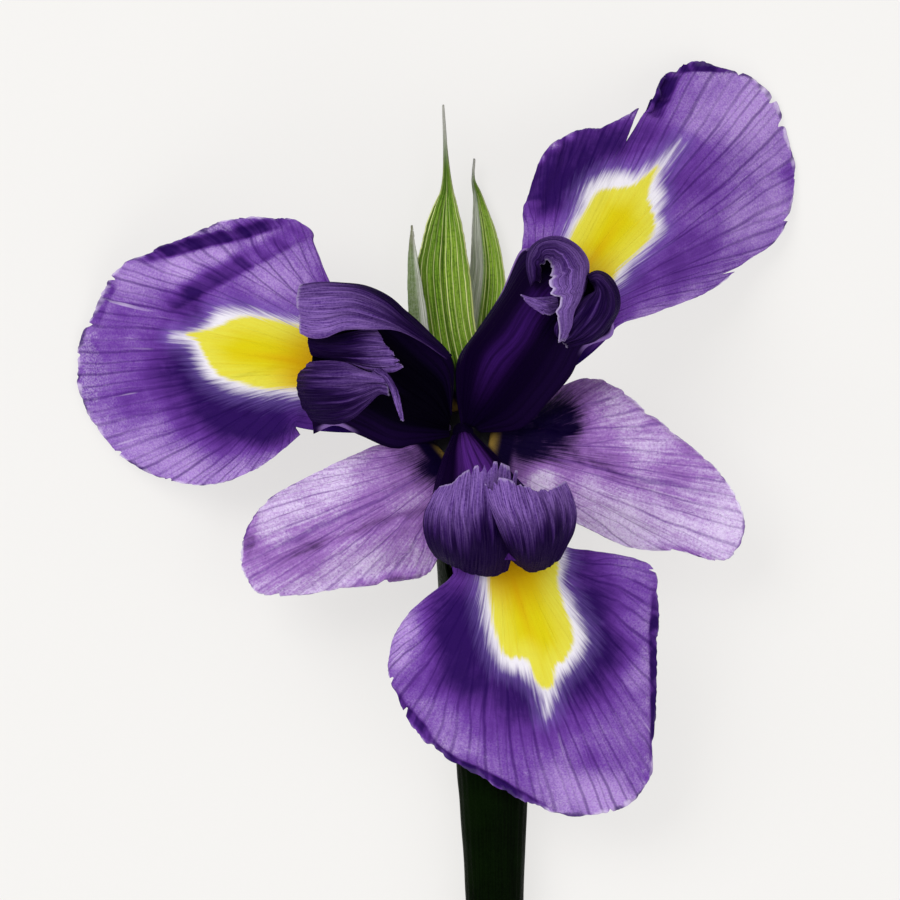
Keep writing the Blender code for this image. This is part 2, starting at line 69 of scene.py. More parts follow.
# Petals: hinge (middle, half width), slopes at hinge and margin, and the margin clockwise from above.
# "yellow" and "white" are the outlines of a fall's signal patch and of the pale fringe round it.
# "folds" are pleats: start, end, reach to the left and to the right, lift, and painted shade in the pleat (a
# negative value paints light).
# "blots" are soft tints: (x, y, reach, tint), darker above zero. Some are the petal's own dark and pale zones,
# others painted shade where it curves down to its claw and painted light where it faces up.
# "tears" are (place round the margin from -1 to 1, depth, half width).
# "ruffle" is the height and the number of the margin's ripples, and the seed they are drawn from.
# "depth" is how much darker the petal is near its root than at its margin.
FALLS = {
    "fall_left": {
        "azimuth": LEFT_ARM, "hinge": (-22.4, 10.2, 26.0), "hinge_half_width": 10.5,
        "hinge_slope": 0.10, "margin_slope": -0.55,
        "margin": [
            (-26.2, -0.3, 22.4), (-29.7, -3.7, 19.5), (-36.0, -7.4, 14.5), (-42.5, -8.8, 10.0),
            (-49.0, -7.6, 6.0), (-55.2, -4.4, 2.8), (-60.0, 1.0, 0.9), (-62.6, 7.5, 0.5),
            (-62.8, 13.5, 0.8), (-60.4, 20.0, 3.0), (-57.3, 25.5, 6.0), (-52.0, 29.0, 9.5),
            (-45.5, 31.4, 13.0), (-39.0, 34.0, 16.0), (-32.0, 34.5, 19.5), (-26.0, 33.2, 22.0),
            (-23.0, 25.5, 24.0),
        ],
        "yellow": [
            (-22.6, 16.0), (-26.3, 16.8), (-29.5, 17.6), (-32.8, 18.2), (-35.7, 18.3), (-37.6, 17.7),
            (-39.4, 16.8), (-41.7, 16.3), (-44.5, 15.7), (-42.9, 14.7), (-41.9, 12.8), (-40.4, 10.3),
            (-38.1, 8.5), (-35.0, 7.6), (-31.6, 6.8), (-26.1, 6.7), (-22.6, 7.2),
        ],
        "white": [
            (-22.6, 17.4), (-27.6, 17.8), (-32.3, 19.0), (-36.2, 19.6), (-38.8, 19.6), (-40.3, 18.7),
            (-41.4, 17.3), (-43.5, 16.3), (-47.0, 15.3), (-44.5, 14.2), (-43.2, 12.4), (-42.4, 10.2),
            (-40.6, 8.2), (-37.8, 6.9), (-34.2, 6.2), (-29.5, 5.8), (-22.6, 6.4),
        ],
        "folds": [
            ((-23.5, 32.0), (-49.5, 18.4), 0.7, 3.4, 0.9, 0.75),
            ((-27.0, 34.2), (-55.0, 27.6), 1.5, 1.7, -1.4, 1.35),
            ((-35.0, 9.5), (-33.0, 2.0), 5.0, 5.0, -0.5, 0.1),
            ((-57.2, 24.6), (-60.6, 16.0), 1.0, 1.2, -0.7, 0.45),
        ],
        "blots": [
            (-38.0, 3.2, 5.5, 0.8), (-33.0, 2.0, 4.5, 0.75), (-43.0, 7.5, 4.5, 0.55),
            (-46.0, 12.0, 4.5, 0.4), (-43.0, 20.5, 4.0, 0.4), (-33.0, 23.5, 4.0, -0.5),
            (-27.5, 22.5, 6.0, -0.7), (-46.0, 26.0, 3.5, -0.5), (-54.0, 24.6, 3.2, -0.45),
            (-54.0, -3.0, 4.5, -0.5), (-45.0, -7.0, 4.0, -0.5), (-38.0, -7.0, 3.5, -0.3),
            (-38.5, 28.6, 2.6, -0.5), (-32.5, 30.6, 2.2, -0.35), (-60.5, 13.5, 2.0, 0.35),
            (-61.3, 6.0, 2.0, 0.3), (-54.0, 15.0, 7.0, 0.22), (-52.0, 5.0, 6.0, 0.15),
        ],
        "tears": [(0.075, 0.8, 0.008), (-0.02, 0.6, 0.006), (0.235, 1.0, 0.012), (-0.35, 1.2, 0.006),
                  (-0.52, 0.9, 0.006)],
        "ruffle": (0.7, 26, 11), "depth": 0.75,
    },
    "fall_right": {
        "azimuth": RIGHT_ARM, "hinge": (16.6, 21.8, 26.0), "hinge_half_width": 9.4,
        "hinge_slope": 0.10, "margin_slope": -0.55,
        "margin": [
            (9.6, 31.0, 23.5), (10.9, 38.5, 20.5), (13.0, 44.7, 17.0), (17.7, 48.4, 14.0),
            (23.2, 49.6, 11.5), (28.6, 52.7, 9.0), (31.3, 55.0, 7.4), (33.2, 58.9, 5.2), (38.6, 60.8, 3.8),
            (46.5, 58.2, 1.8), (51.2, 54.0, 0.8), (53.4, 47.1, 0.5), (54.4, 41.0, 0.7), (51.9, 32.4, 2.5),
            (46.0, 27.5, 6.0), (40.6, 23.1, 11.0), (32.6, 19.9, 16.0), (24.8, 17.6, 22.0),
        ],
        "yellow": [
            (16.0, 28.3), (17.6, 31.9), (19.6, 35.4), (21.0, 37.7), (22.5, 38.8), (25.6, 39.1),
            (27.7, 39.8), (29.3, 41.1), (31.5, 42.7), (30.6, 40.6), (29.9, 38.8), (30.1, 36.1),
            (30.8, 33.5), (30.3, 31.4), (28.0, 28.8), (25.1, 25.9), (22.6, 23.6),
        ],
        "white": [
            (15.4, 28.3), (16.8, 32.3), (18.4, 35.6), (19.2, 38.0), (20.7, 39.9), (23.0, 41.3),
            (25.6, 41.8), (27.9, 41.4), (30.1, 42.6), (32.3, 44.2), (35.2, 47.0), (33.1, 43.6),
            (31.8, 40.5), (32.4, 37.8), (31.6, 35.0), (32.3, 32.8), (30.5, 30.3), (27.2, 26.9),
            (23.6, 23.3),
        ],
        "folds": [
            ((10.0, 33.0), (16.0, 47.0), 1.3, 1.3, 0.9, -0.3),
            ((30.2, 51.0), (35.5, 60.6), 2.2, 1.7, -1.2, 1.1),
            ((33.0, 60.0), (46.5, 59.6), 1.3, 1.1, -0.9, 1.1),
        ],
        "blots": [
            (14.5, 42.0, 4.5, 1.05), (20.0, 44.5, 4.5, 0.95), (25.5, 47.8, 3.6, 0.8),
            (12.5, 37.5, 3.0, 0.8), (12.5, 31.5, 3.0, -0.35), (27.0, 22.5, 4.5, 0.0),
            (36.0, 24.0, 5.0, -0.15), (40.0, 50.0, 6.0, -0.3), (49.0, 44.0, 5.0, -0.3),
            (44.0, 33.0, 5.0, -0.2), (35.0, 41.0, 4.5, 0.15), (46.5, 53.0, 5.0, -0.55),
            (50.5, 36.0, 4.0, -0.35), (29.0, 19.5, 3.0, -0.3), (32.5, 47.5, 3.6, 0.3),
            (53.0, 42.0, 2.0, 0.4), (12.4, 43.6, 0.9, -0.9), (14.6, 46.0, 0.9, -0.9),
            (17.2, 47.6, 0.8, -0.8),
        ],
        "tears": [(-0.362, 8.2, 0.050), (0.167, 1.2, 0.008), (0.233, 1.6, 0.010), (0.675, 3.2, 0.012),
                  (0.492, 1.2, 0.006), (0.04, 0.8, 0.006)],
        "ruffle": (0.5, 26, 23), "depth": 0.55,
    },
    "fall_lower": {
        "azimuth": LOWER_ARM, "hinge": (6.8, -20.0, 31.0), "hinge_half_width": 8.8,
        "hinge_slope": 0.15, "margin_slope": -0.60,
        "margin": [
            (15.6, -19.6, 29.0), (23.0, -19.6, 28.0), (30.4, -21.8, 26.5), (31.8, -29.0, 24.0),
            (31.6, -37.5, 20.5), (31.6, -46.1, 17.5), (30.4, -55.5, 15.0), (26.6, -60.4, 14.0),
            (20.0, -62.2, 13.5), (11.5, -60.9, 14.0), (3.4, -56.5, 15.5), (-4.2, -52.1, 17.5),
            (-9.0, -46.8, 19.5), (-11.8, -40.0, 22.0), (-11.6, -34.4, 24.5), (-8.4, -28.6, 26.5),
            (-1.6, -23.0, 28.5),
        ],
        "yellow": [
            (4.6, -18.6), (4.0, -23.0), (4.2, -26.5), (4.8, -30.5), (5.8, -34.1), (7.0, -35.9),
            (9.9, -36.4), (10.9, -38.5), (12.0, -40.4), (13.5, -41.2), (14.6, -40.1), (14.7, -37.5),
            (16.3, -36.4), (17.4, -34.2), (17.4, -31.8), (16.1, -27.8), (15.1, -24.3), (14.2, -18.6),
        ],
        "white": [
            (3.3, -18.6), (2.9, -23.0), (3.0, -27.3), (3.7, -31.5), (4.8, -35.1), (6.4, -37.8),
            (9.5, -38.9), (11.6, -41.1), (12.7, -43.0), (13.5, -45.6), (14.3, -43.0), (15.6, -39.6),
            (17.8, -37.3), (19.5, -34.2), (19.2, -31.3), (17.6, -27.5), (15.9, -24.1), (15.4, -18.6),
        ],
        "folds": [
            ((31.2, -23.0), (31.2, -56.0), 1.6, 1.2, -1.2, 1.1),
            ((-12.0, -41.0), (-2.6, -53.4), 1.0, 1.0, -0.8, 0.9),
            ((-6.4, -50.4), (15.0, -62.0), 1.1, 1.0, -1.0, 1.2),
        ],
        "blots": [
            (-1.5, -31.0, 5.0, 0.8), (2.0, -38.5, 5.0, 0.75), (21.0, -28.0, 6.0, 0.5),
            (23.5, -35.0, 5.0, 0.75), (18.5, -41.0, 4.5, 0.7), (9.0, -44.0, 5.0, 0.5),
            (-8.0, -31.0, 3.5, -0.35), (28.0, -31.0, 3.0, -0.2), (27.0, -39.0, 3.0, -0.25),
            (4.0, -50.0, 6.0, 0.05), (20.0, -57.0, 5.0, -0.35), (25.0, -47.0, 3.5, -0.15),
            (-10.0, -37.0, 2.0, -0.45), (23.0, -60.0, 4.0, -0.6), (14.0, -22.0, 5.0, 0.2),
            (20.0, -53.5, 2.4, 0.5), (-4.0, -38.0, 4.0, 0.2), (-9.5, -32.0, 2.0, -0.4),
        ],
        "tears": [(-0.735, 1.0, 0.004), (0.52, 1.4, 0.008), (0.62, 1.2, 0.006), (-0.07, 0.7, 0.006)],
        "ruffle": (0.4, 26, 37), "depth": 0.7,
    },
}

STANDARDS = {
    "standard_left": {
        "azimuth": LEFT_STANDARD, "hinge": (-4.8, -6.0, 25.0), "hinge_half_width": 6.6,
        "hinge_slope": 0.25, "margin_slope": -0.35,
        "margin": [
            (-3.4, -18.6, 22.0), (-5.4, -22.8, 19.5), (-10.9, -24.2, 17.5), (-18.9, -25.3, 16.0),
            (-27.0, -26.6, 14.0), (-33.4, -26.0, 13.0), (-36.2, -21.5, 13.0), (-34.9, -15.5, 15.0),
            (-31.0, -10.7, 17.5), (-25.3, -7.4, 20.5), (-18.9, -4.5, 23.0), (-13.0, -1.6, 24.2),
            (-9.6, 0.2, 24.8),
        ],
        "folds": [
            ((-3.0, -12.0), (-30.0, -20.5), 1.1, 1.1, -0.45, 0.22),
            ((-6.0, -22.6), (-20.0, -25.0), 0.9, 0.9, 0.8, 0.35),
            ((-33.5, -12.5), (-36.0, -22.0), 1.4, 1.2, -0.7, 0.3),
        ],
        "blots": [
            (-4.0, -6.0, 3.4, 0.8), (-2.6, -14.0, 3.0, 0.7), (-2.6, -19.0, 2.4, 0.6),
            (-21.0, -9.0, 5.0, -0.3), (-34.5, -19.0, 3.0, 0.25), (-28.0, -12.0, 6.0, -0.35),
            (-14.0, -14.0, 5.0, 0.05), (-16.0, -23.0, 4.0, -0.2), (-27.0, -21.6, 3.6, 0.14),
            (-10.0, -2.6, 2.2, 0.35),
        ],
        "tears": [(0.80, 0.9, 0.02), (0.56, 0.6, 0.02), (-0.62, 1.3, 0.02), (-0.25, 0.9, 0.02)],
        "ruffle": (0.7, 20, 41), "depth": 0.25,
    },
    "standard_right": {
        "azimuth": RIGHT_STANDARD, "hinge": (8.6, -3.2, 21.2), "hinge_half_width": 5.6,
        "hinge_slope": 0.20, "margin_slope": -0.30,
        "margin": [
            (12.0, 5.4, 16.5), (19.7, 8.7, 15.5), (24.9, 6.9, 17.5), (30.0, 3.0, 18.5), (35.6, -1.6, 18.0),
            (40.8, -6.0, 16.5), (44.4, -11.0, 14.5), (45.6, -16.4, 12.5), (42.2, -20.9, 12.0),
            (35.2, -19.4, 14.0), (27.5, -18.9, 16.5), (20.6, -15.8, 19.0), (13.0, -11.4, 22.0),
        ],
        "folds": [
            ((12.0, -1.0), (40.0, -15.5), 1.2, 1.2, -0.5, 0.15),
            ((22.0, 8.0), (41.0, -7.0), 0.6, 0.8, 0.5, 0.12),
            ((30.0, -18.4), (41.0, -20.6), 0.8, 0.7, 0.6, 0.25),
            ((6.0, 1.2), (20.0, 0.0), 0.8, 1.2, -0.8, 0.55),
        ],
        "blots": [
            (8.6, 1.5, 3.8, 0.6), (12.5, -0.9, 3.4, 0.55), (16.5, 2.4, 4.6, 0.34), (10.0, -3.6, 2.8, 0.3),
            (12.8, -8.2, 2.0, -1.3), (18.0, 5.6, 4.6, 0.3), (28.0, -14.5, 6.0, -0.45),
            (41.0, -15.0, 5.0, -0.45), (20.0, -10.0, 4.0, -0.35), (28.5, -4.6, 4.5, -0.3),
            (14.0, 4.4, 3.6, 0.3),
        ],
        "tears": [(0.35, 0.7, 0.02), (0.52, 0.9, 0.02), (-0.5, 0.7, 0.02)],
        "ruffle": (0.7, 20, 53), "depth": 0.4,
    },
    "standard_back": {
        "azimuth": BACK_STANDARD, "hinge": (-5.0, 8.2, 20.2), "hinge_half_width": 2.3,
        "hinge_slope": -0.20, "margin_slope": -0.35,
        "margin": [
            (-11.0, 4.6, 17.0), (-18.0, 4.6, 14.0), (-26.0, 6.2, 11.0), (-34.0, 9.5, 8.0),
            (-40.5, 13.5, 5.5), (-43.0, 18.5, 3.8), (-40.5, 22.5, 3.8), (-34.0, 23.4, 6.0),
            (-26.0, 21.6, 9.5), (-18.0, 18.0, 13.0), (-10.5, 13.4, 16.5),
        ],
        "folds": [((-8.0, 9.5), (-38.0, 18.0), 1.2, 1.2, -0.5, 0.35)],
        "blots": [
            (-6.0, 8.0, 4.0, 0.8), (-30.0, 14.0, 6.0, -0.3),
        ],
        "tears": [(0.1, 0.8, 0.02)],
        "ruffle": (0.6, 20, 61), "depth": 0.3,
    },
}

# Style arms as nets of points (x, y, z): rows run from the root to the free edge, columns across. Each arm is
# a roof and the crests that curl over it.
STYLE_ARMS = {
    "style_arm_left": {
        "roof": [
            [(-1.8, 3, 24), (-2.1, 2.1, 25.5), (-2.2, 1.1, 26), (-2.2, 0.2, 25.5), (-2.1, -0.8, 24)],
            [(-1.6, 11.1, 24), (-3.7, 7.4, 26), (-5.6, 3.7, 28), (-6.2, 1, 27.5), (-6.2, -1.8, 24.5)],
            [(-5.3, 15.7, 26), (-8.1, 11.3, 27.5), (-9.7, 6.5, 29.5), (-10.7, 2.1, 29), (-11.2, -2.6, 25.5)],
            [(-10.1, 19.9, 29), (-12.4, 14.5, 30), (-14.2, 9.7, 31.5), (-15.4, 4.6, 31), (-16.4, -0.5, 27.5)],
            [(-15.1, 22.7, 31), (-17.7, 17.3, 32), (-19.2, 12, 33), (-20.4, 6.8, 32.5), (-20.4, 1.1, 29)],
            [(-20.4, 23.4, 32), (-22.4, 18.4, 33), (-23.7, 12.8, 34), (-24.3, 6.8, 33.5), (-23.9, -0.3, 29)],
        ],
        "flap": [
            [(-1.8, 12, 27), (-2.1, 11.8, 28), (-2.4, 11.6, 28.5), (-2.7, 11.6, 28)],
            [(-5.3, 15.5, 29), (-5.6, 14.9, 31), (-6.1, 14.3, 32), (-6.7, 14.3, 31)],
            [(-8.4, 18.3, 31.5), (-9.1, 17.7, 34), (-9.8, 16.5, 35.5), (-10.6, 16, 34.5)],
            [(-11.6, 21.3, 33), (-12.4, 20.4, 36), (-13.5, 18.3, 38), (-14.7, 16, 37)],
            [(-15.4, 23.1, 34.5), (-16.3, 22.1, 38), (-17.5, 19.5, 40), (-18.7, 15.9, 38.5)],
            [(-19.5, 23.6, 35.5), (-20.2, 22.4, 39), (-21, 19.2, 41), (-21.8, 14.7, 38)],
            [(-22.7, 23.7, 36), (-23.2, 22.4, 39), (-23.7, 19, 40.5), (-24.1, 14.7, 37)],
            [(-25.7, 23.3, 35.5), (-26, 22.1, 38), (-26.2, 19.2, 39), (-25.8, 15.5, 36)],
        ],
        "fan": [
            [(-24.6, 15.1, 34), (-24.6, 14.1, 34.5), (-24.4, 13.1, 34.5), (-24.1, 12, 34)],
            [(-21.9, 15, 34.5), (-21.9, 13.6, 36), (-21.9, 12.2, 36), (-21.4, 11.2, 35)],
            [(-18.7, 15.4, 35), (-18.5, 13.6, 37), (-18.4, 11.8, 37), (-17.9, 10.6, 36)],
            [(-16, 15.8, 35), (-15.5, 13.9, 37.5), (-15.2, 11.7, 37.5), (-14.7, 9.5, 36.5)],
            [(-14.3, 15.8, 34.5), (-12.8, 13.7, 37), (-11.7, 11.7, 37), (-11.3, 9.3, 36.5)],
            [(-13.8, 15.7, 34), (-12.2, 13.6, 36.5), (-10.5, 11.5, 36.5), (-9.5, 10.1, 36)],
        ],
        "cup": [
            [(-24.3, 10.9, 33), (-26.1, 9, 32), (-26.4, 6.8, 31.5), (-25.6, 4.1, 31.5), (-24, 1.6, 31.5)],
            [(-23, 10.9, 36.5), (-24.4, 9, 38), (-24.5, 6.6, 38.5), (-23.9, 4.1, 37), (-22.4, 1.3, 32.5)],
            [(-20.7, 10.9, 38), (-21.6, 8.9, 41), (-21.6, 6.6, 41), (-21.2, 4.1, 38.5), (-20, 1.2, 33)],
            [(-18.4, 10.7, 38.5), (-18.8, 8.9, 41.5), (-18.8, 6.7, 41), (-18.4, 4.5, 38.5), (-17.6, 2, 33.5)],
            [(-16, 9.9, 38.5), (-16.1, 8.6, 40.5), (-16, 7.1, 40), (-15.8, 5.5, 38), (-15.4, 3.8, 34.5)],
            [(-14.1, 9.3, 38), (-13.9, 8.3, 39), (-13.6, 7.4, 38.5), (-13.5, 6.6, 37.5), (-13.2, 5.8, 36)],
            [(-12.7, 8.7, 37.5), (-12.2, 7.9, 38), (-11.9, 7.1, 38), (-11.7, 6.3, 37.5), (-11.6, 5.5, 37)],
        ],
        "tail": [
            [(-14.4, 9.3, 38.3), (-13.6, 9.9, 38.8), (-12.7, 9.8, 38.5)],
            [(-12.5, 8, 38.5), (-11.9, 8.5, 39), (-11.4, 8.2, 38.6)],
            [(-11.4, 6.3, 38), (-10.9, 6.6, 38.4), (-10.6, 6.3, 38)],
            [(-10.6, 4.2, 37.5), (-10.3, 4.4, 37.8), (-10, 4.2, 37.5)],
            [(-9.8, 1.9, 37), (-9.6, 1.7, 37), (-9.4, 1.5, 37)],
        ],
    },
    "style_arm_right": {
        "roof": [
            [(-0.2, 1.1, 24), (0.2, 1.1, 25.5), (0.8, 1, 26), (1.8, 0.6, 25.5), (2.7, -0.2, 24)],
            [(-1, 6.2, 24), (0.2, 6.9, 27.5), (2.6, 5.6, 29), (6, 3.4, 27.5), (9.2, 0.4, 23.5)],
            [(-0.8, 11.5, 25), (1.1, 12.6, 29), (5.1, 11, 31.5), (10.2, 8.2, 30), (13.8, 4.9, 25.5)],
            [(2.1, 16.1, 26.5), (4.3, 17.3, 31), (8.4, 14.7, 34), (13, 12.5, 32.5), (17.2, 8.7, 27.5)],
            [(5.7, 21.9, 28), (7.1, 21.4, 32), (11.1, 18.8, 35), (15.4, 16.3, 34), (19.6, 13, 30)],
            [(8.8, 28.8, 29), (10.2, 25.9, 33), (14.1, 22.6, 35.5), (19.3, 19.5, 34.5), (23.7, 14.9, 31)],
            [(11.4, 28.6, 32), (15.2, 29, 35), (18.6, 26, 36), (21.6, 23.4, 35), (24, 18.4, 32.5)],
        ],
        "scroll": [
            [(10.8, 22.9, 36), (11, 23.4, 38), (11.5, 23.7, 39), (12.3, 23.4, 36)],
            [(10.1, 26, 35), (10.6, 26, 38.5), (11.5, 26, 40), (12.3, 25.8, 37)],
            [(10.5, 28.7, 34.5), (11.2, 28.4, 39), (12.1, 27.5, 41), (12.8, 26.5, 38)],
            [(12.5, 30.4, 34), (12.8, 29.8, 39.5), (13.2, 28.6, 42), (13.6, 26.7, 38.5)],
            [(15.4, 30.8, 34), (15.3, 29.9, 40), (14.9, 28.5, 42.5), (14, 26, 39)],
            [(18.2, 29.3, 34), (17.8, 28.5, 40), (16.5, 27.2, 43), (14.2, 25.1, 40)],
            [(19.8, 26.8, 34), (19.1, 26, 40), (17.3, 25, 43), (13.7, 23.8, 41)],
            [(19.5, 23.6, 35), (18.9, 23.2, 40), (17, 22.5, 43), (13.8, 22.2, 41.5)],
            [(18.8, 21.4, 36), (18.3, 21.1, 40.5), (16.5, 20.7, 42.5), (14.2, 20.3, 41.5)],
            [(17.7, 18.8, 37), (17.3, 18.7, 40.5), (16.2, 18.4, 42), (14.8, 18.4, 41.5)],
            [(17.1, 16.4, 38), (16.9, 16.4, 40), (16.2, 16.2, 41), (15.3, 16.4, 40.5)],
            [(15.8, 14.2, 39), (15.6, 14.2, 39.3), (15.4, 14.2, 39.3), (15.3, 14, 39)],
        ],
        "ball": [
            [(19.5, 24.5, 36), (19.7, 24.2, 38), (20.1, 23.7, 37), (20.4, 23.3, 35)],
            [(21.1, 25.3, 35), (21.1, 24.6, 39), (21, 23.6, 39.5), (20.6, 22.9, 36)],
            [(22.7, 24.9, 34), (22.2, 24, 39.5), (21.6, 22.8, 41), (20.7, 22.1, 38)],
            [(24, 23.6, 33), (23.2, 22.7, 39.5), (22, 21.7, 41.5), (19.5, 21.4, 38.5)],
            [(24.8, 21.6, 32.5), (23.8, 21, 39.5), (21.8, 20.3, 42), (17.5, 20.2, 38.8)],
            [(24.8, 19.4, 32.5), (23.7, 18.9, 39.5), (21.2, 18.7, 42), (16, 18.8, 39)],
            [(23.7, 17.1, 32.5), (22.6, 17.2, 39), (20.2, 17.2, 41), (15, 17.6, 39)],
            [(22.2, 15.2, 33), (21.2, 15.6, 38), (18.8, 15.8, 40), (14.4, 16.4, 38.5)],
            [(20.5, 14, 33.5), (19.6, 14.5, 37), (17.6, 14.8, 38.8), (14.4, 15.4, 38)],
            [(18.2, 13.5, 34), (17.7, 13.9, 36.5), (16.5, 14.2, 37.5), (14.8, 14.7, 37)],
            [(16.6, 13.4, 35), (16.3, 13.5, 36), (15.9, 13.8, 36.5), (15.3, 14.2, 36.5)],
        ],
        "shelf": [
            [(14.8, 21.4, 39), (15, 20, 39.5), (14.8, 18.8, 39)],
            [(12.9, 21.1, 39.5), (13.2, 19.7, 40.3), (13.4, 18.1, 39.5)],
            [(11, 21.1, 39.5), (11.5, 20.2, 40.2), (12.1, 18.6, 39.5)],
            [(9, 21.6, 39), (9.6, 21.1, 39.3), (10.6, 20, 39)],
        ],
    },
    "style_arm_lower": {
        "roof": [
            [(-1.8, -1, 25), (-1, -0.5, 27), (0.3, -0.3, 28), (1.6, -0.6, 27), (2.6, -1.3, 25)],
            [(-3, -3.8, 27), (-1.8, -3, 31), (1.1, -2.6, 33.5), (4.3, -3.4, 31.5), (5.9, -4.6, 27)],
            [(-4.3, -7.5, 30), (-2.4, -6.5, 35), (2.3, -5.9, 38), (7.1, -6.8, 35.5), (9.1, -8.5, 30)],
            [(-5.3, -11.8, 33), (-2.9, -10.6, 38), (3.9, -10.1, 41), (9.8, -11.3, 38), (12.2, -12.6, 33)],
            [(-4.9, -17.3, 35), (-2.1, -16.5, 39), (5.5, -16.4, 42), (12.1, -17.3, 39), (14.7, -18.6, 35)],
            [(-2.9, -20.5, 35.5), (0.3, -20.1, 38), (6.3, -20.4, 40), (11.4, -20.7, 38), (13.8, -21.1, 35.5)],
        ],
        "shell_left": [
            [(-4.6, -19.9, 34), (-1.8, -21.3, 34.5), (1.4, -22.6, 34.5), (4.6, -23, 34.5), (7.1, -22.1, 35)],
            [(-5.6, -18.1, 38), (-2.1, -19.9, 41), (1.4, -20.7, 42), (4.9, -20.7, 41.5), (7.6, -19.8, 38.5)],
            [(-6.3, -15.5, 40), (-2.6, -16.9, 45), (1.4, -17.3, 47), (5.1, -17.3, 46), (7.9, -17.5, 41)],
            [(-6.3, -12.8, 41), (-2.7, -13.4, 47), (1, -13.4, 49.5), (4.8, -13.2, 48.5), (7.7, -14.4, 43)],
            [(-5.4, -10.5, 41), (-2.2, -10.6, 46.5), (1.2, -9.9, 49.5), (4.8, -9.5, 49), (7.8, -10.9, 44)],
            [(-4.3, -8.6, 40), (-1.3, -7.9, 45), (1.7, -5.7, 48), (5.3, -4.8, 48), (8.3, -6.2, 45)],
        ],
        "shell_right": [
            [(7.7, -20.5, 36), (9.3, -21.7, 35.5), (11.1, -22.4, 35), (13.3, -21.7, 35), (15.4, -20.3, 35)],
            [(7.2, -19, 41), (9.1, -20.2, 43), (11.5, -20.5, 43), (13.8, -19.7, 41.5), (16.4, -18.2, 38)],
            [(6.2, -16.9, 45), (8.7, -17.6, 48.5), (11.5, -17.6, 49), (14.4, -17, 46.5), (17.5, -15.7, 40)],
            [(5, -14.3, 47.5), (7.9, -14.4, 51), (11, -14.3, 51.5), (14.2, -13.7, 48.5), (17.9, -12.8, 41.5)],
            [(3.6, -11.6, 49), (6.7, -11.5, 52), (10.1, -11.3, 52), (13.6, -11, 49), (17.3, -10.1, 42)],
            [(2.3, -9, 48.5), (5.7, -7.4, 51), (9.3, -8.8, 50.5), (13.1, -9.3, 48), (16.2, -7.9, 42.5)],
        ],
    },
}

# Each crest's tone, from -1 (pale) to 1 (dark), on its first and last column, what its foot and free edge add
# to that, the depth of the teeth on the free edge and the share notched from the last column. The tones are
# painted light and
# shade: each curl is paler where it faces the light and darker at its foot and on its side turned away.
CRESTS = {
    "flap": (1.0, -1.1, 0.4, -0.3, 1.0, 0.0), "fan": (0.6, 0.1, 0.6, -0.7, 2.4, 0.0),
    "cup": (-0.35, 0.7, 0.1, -0.1, 0.3, 0.0), "tail": (-0.6, -0.4, 0.0, 0.0, 0.2, 0.1),
    "scroll": (0.0, -0.2, 0.0, -0.7, 0.4, 0.16), "ball": (0.9, 0.6, -1.2, 0.7, 0.3, 0.0),
    "shelf": (-1.1, -1.1, 0.3, 0.0, 0.3, 0.1), "shell_left": (0.0, 0.6, 0.8, -0.9, 2.3, 0.0),
    "shell_right": (-0.1, 0.5, 0.8, -0.7, 1.9, 0.0),
}
# Painted light and shade on each arm's roof: how bright its stripe and body are, from -1 (in shade, stripe
# hidden) to 1.
ARM_PAINTED_LIGHT = {"style_arm_left": -0.6, "style_arm_right": 0.15, "style_arm_lower": 0.9}

# Bracts as stations along the stem line: (y, middle x, underside z, radius, roll, half wrap in degrees).
BRACTS = {
    "outer_bract": [
        (-50.0, 4.8, 0.3, 6.0, 0, 172), (-40.0, 4.5, 0.3, 6.9, 0, 160), (-28.0, 4.1, 0.3, 7.8, 0, 138),
        (-15.0, 3.6, 0.3, 8.2, 0, 112), (0.0, 2.4, 0.3, 7.9, 0, 82), (15.0, 1.6, 0.5, 7.8, 11, 33),
        (25.0, 1.6, 0.8, 9.4, 15, 19), (32.0, 1.7, 1.1, 9.4, 11.5, 13.5), (38.0, 1.8, 1.5, 8.0, 5.5, 6),
        (41.2, 1.5, 1.8, 6.0, 2, 2.2), (44.4, 1.9, 2.0, 6.0, 0, 0.6),
    ],
    "inner_bract": [
        (-48.0, 4.8, 1.3, 5.0, 0, 165), (-40.0, 4.5, 1.3, 5.8, 0, 148), (-28.0, 4.0, 1.3, 6.5, 0, 126),
        (-15.0, 3.3, 1.5, 6.6, 0, 95), (0.0, 1.4, 2.6, 6.0, 0, 66), (15.0, -2.0, 4.2, 6.3, 0, 45),
        (25.0, -3.2, 4.7, 6.6, 0, 42), (31.0, -3.1, 5.0, 6.1, 0, 36), (36.0, -2.9, 5.2, 5.5, 0, 23),
        (40.0, -2.6, 5.4, 4.0, 0, 12), (45.5, -2.8, 5.9, 3.0, 0, 5.5), (53.0, -3.2, 6.5, 3.0, 0, 1.2),
    ],
    "membrane_bract": [
        (-22.0, 3.5, 2.1, 5.7, -78, 20), (-10.0, 3.0, 2.4, 5.7, -70, 22), (0.0, 1.3, 3.5, 5.2, -55, 20),
        (8.0, -4.4, 6.3, 5.6, -15, 17), (16.0, -7.0, 6.6, 6.0, 0, 15), (24.0, -7.8, 6.9, 6.0, 0, 11),
        (29.0, -8.2, 6.6, 6.0, 0, 6.5), (33.4, -8.3, 6.4, 6.0, 0, 0.8),
    ],
}

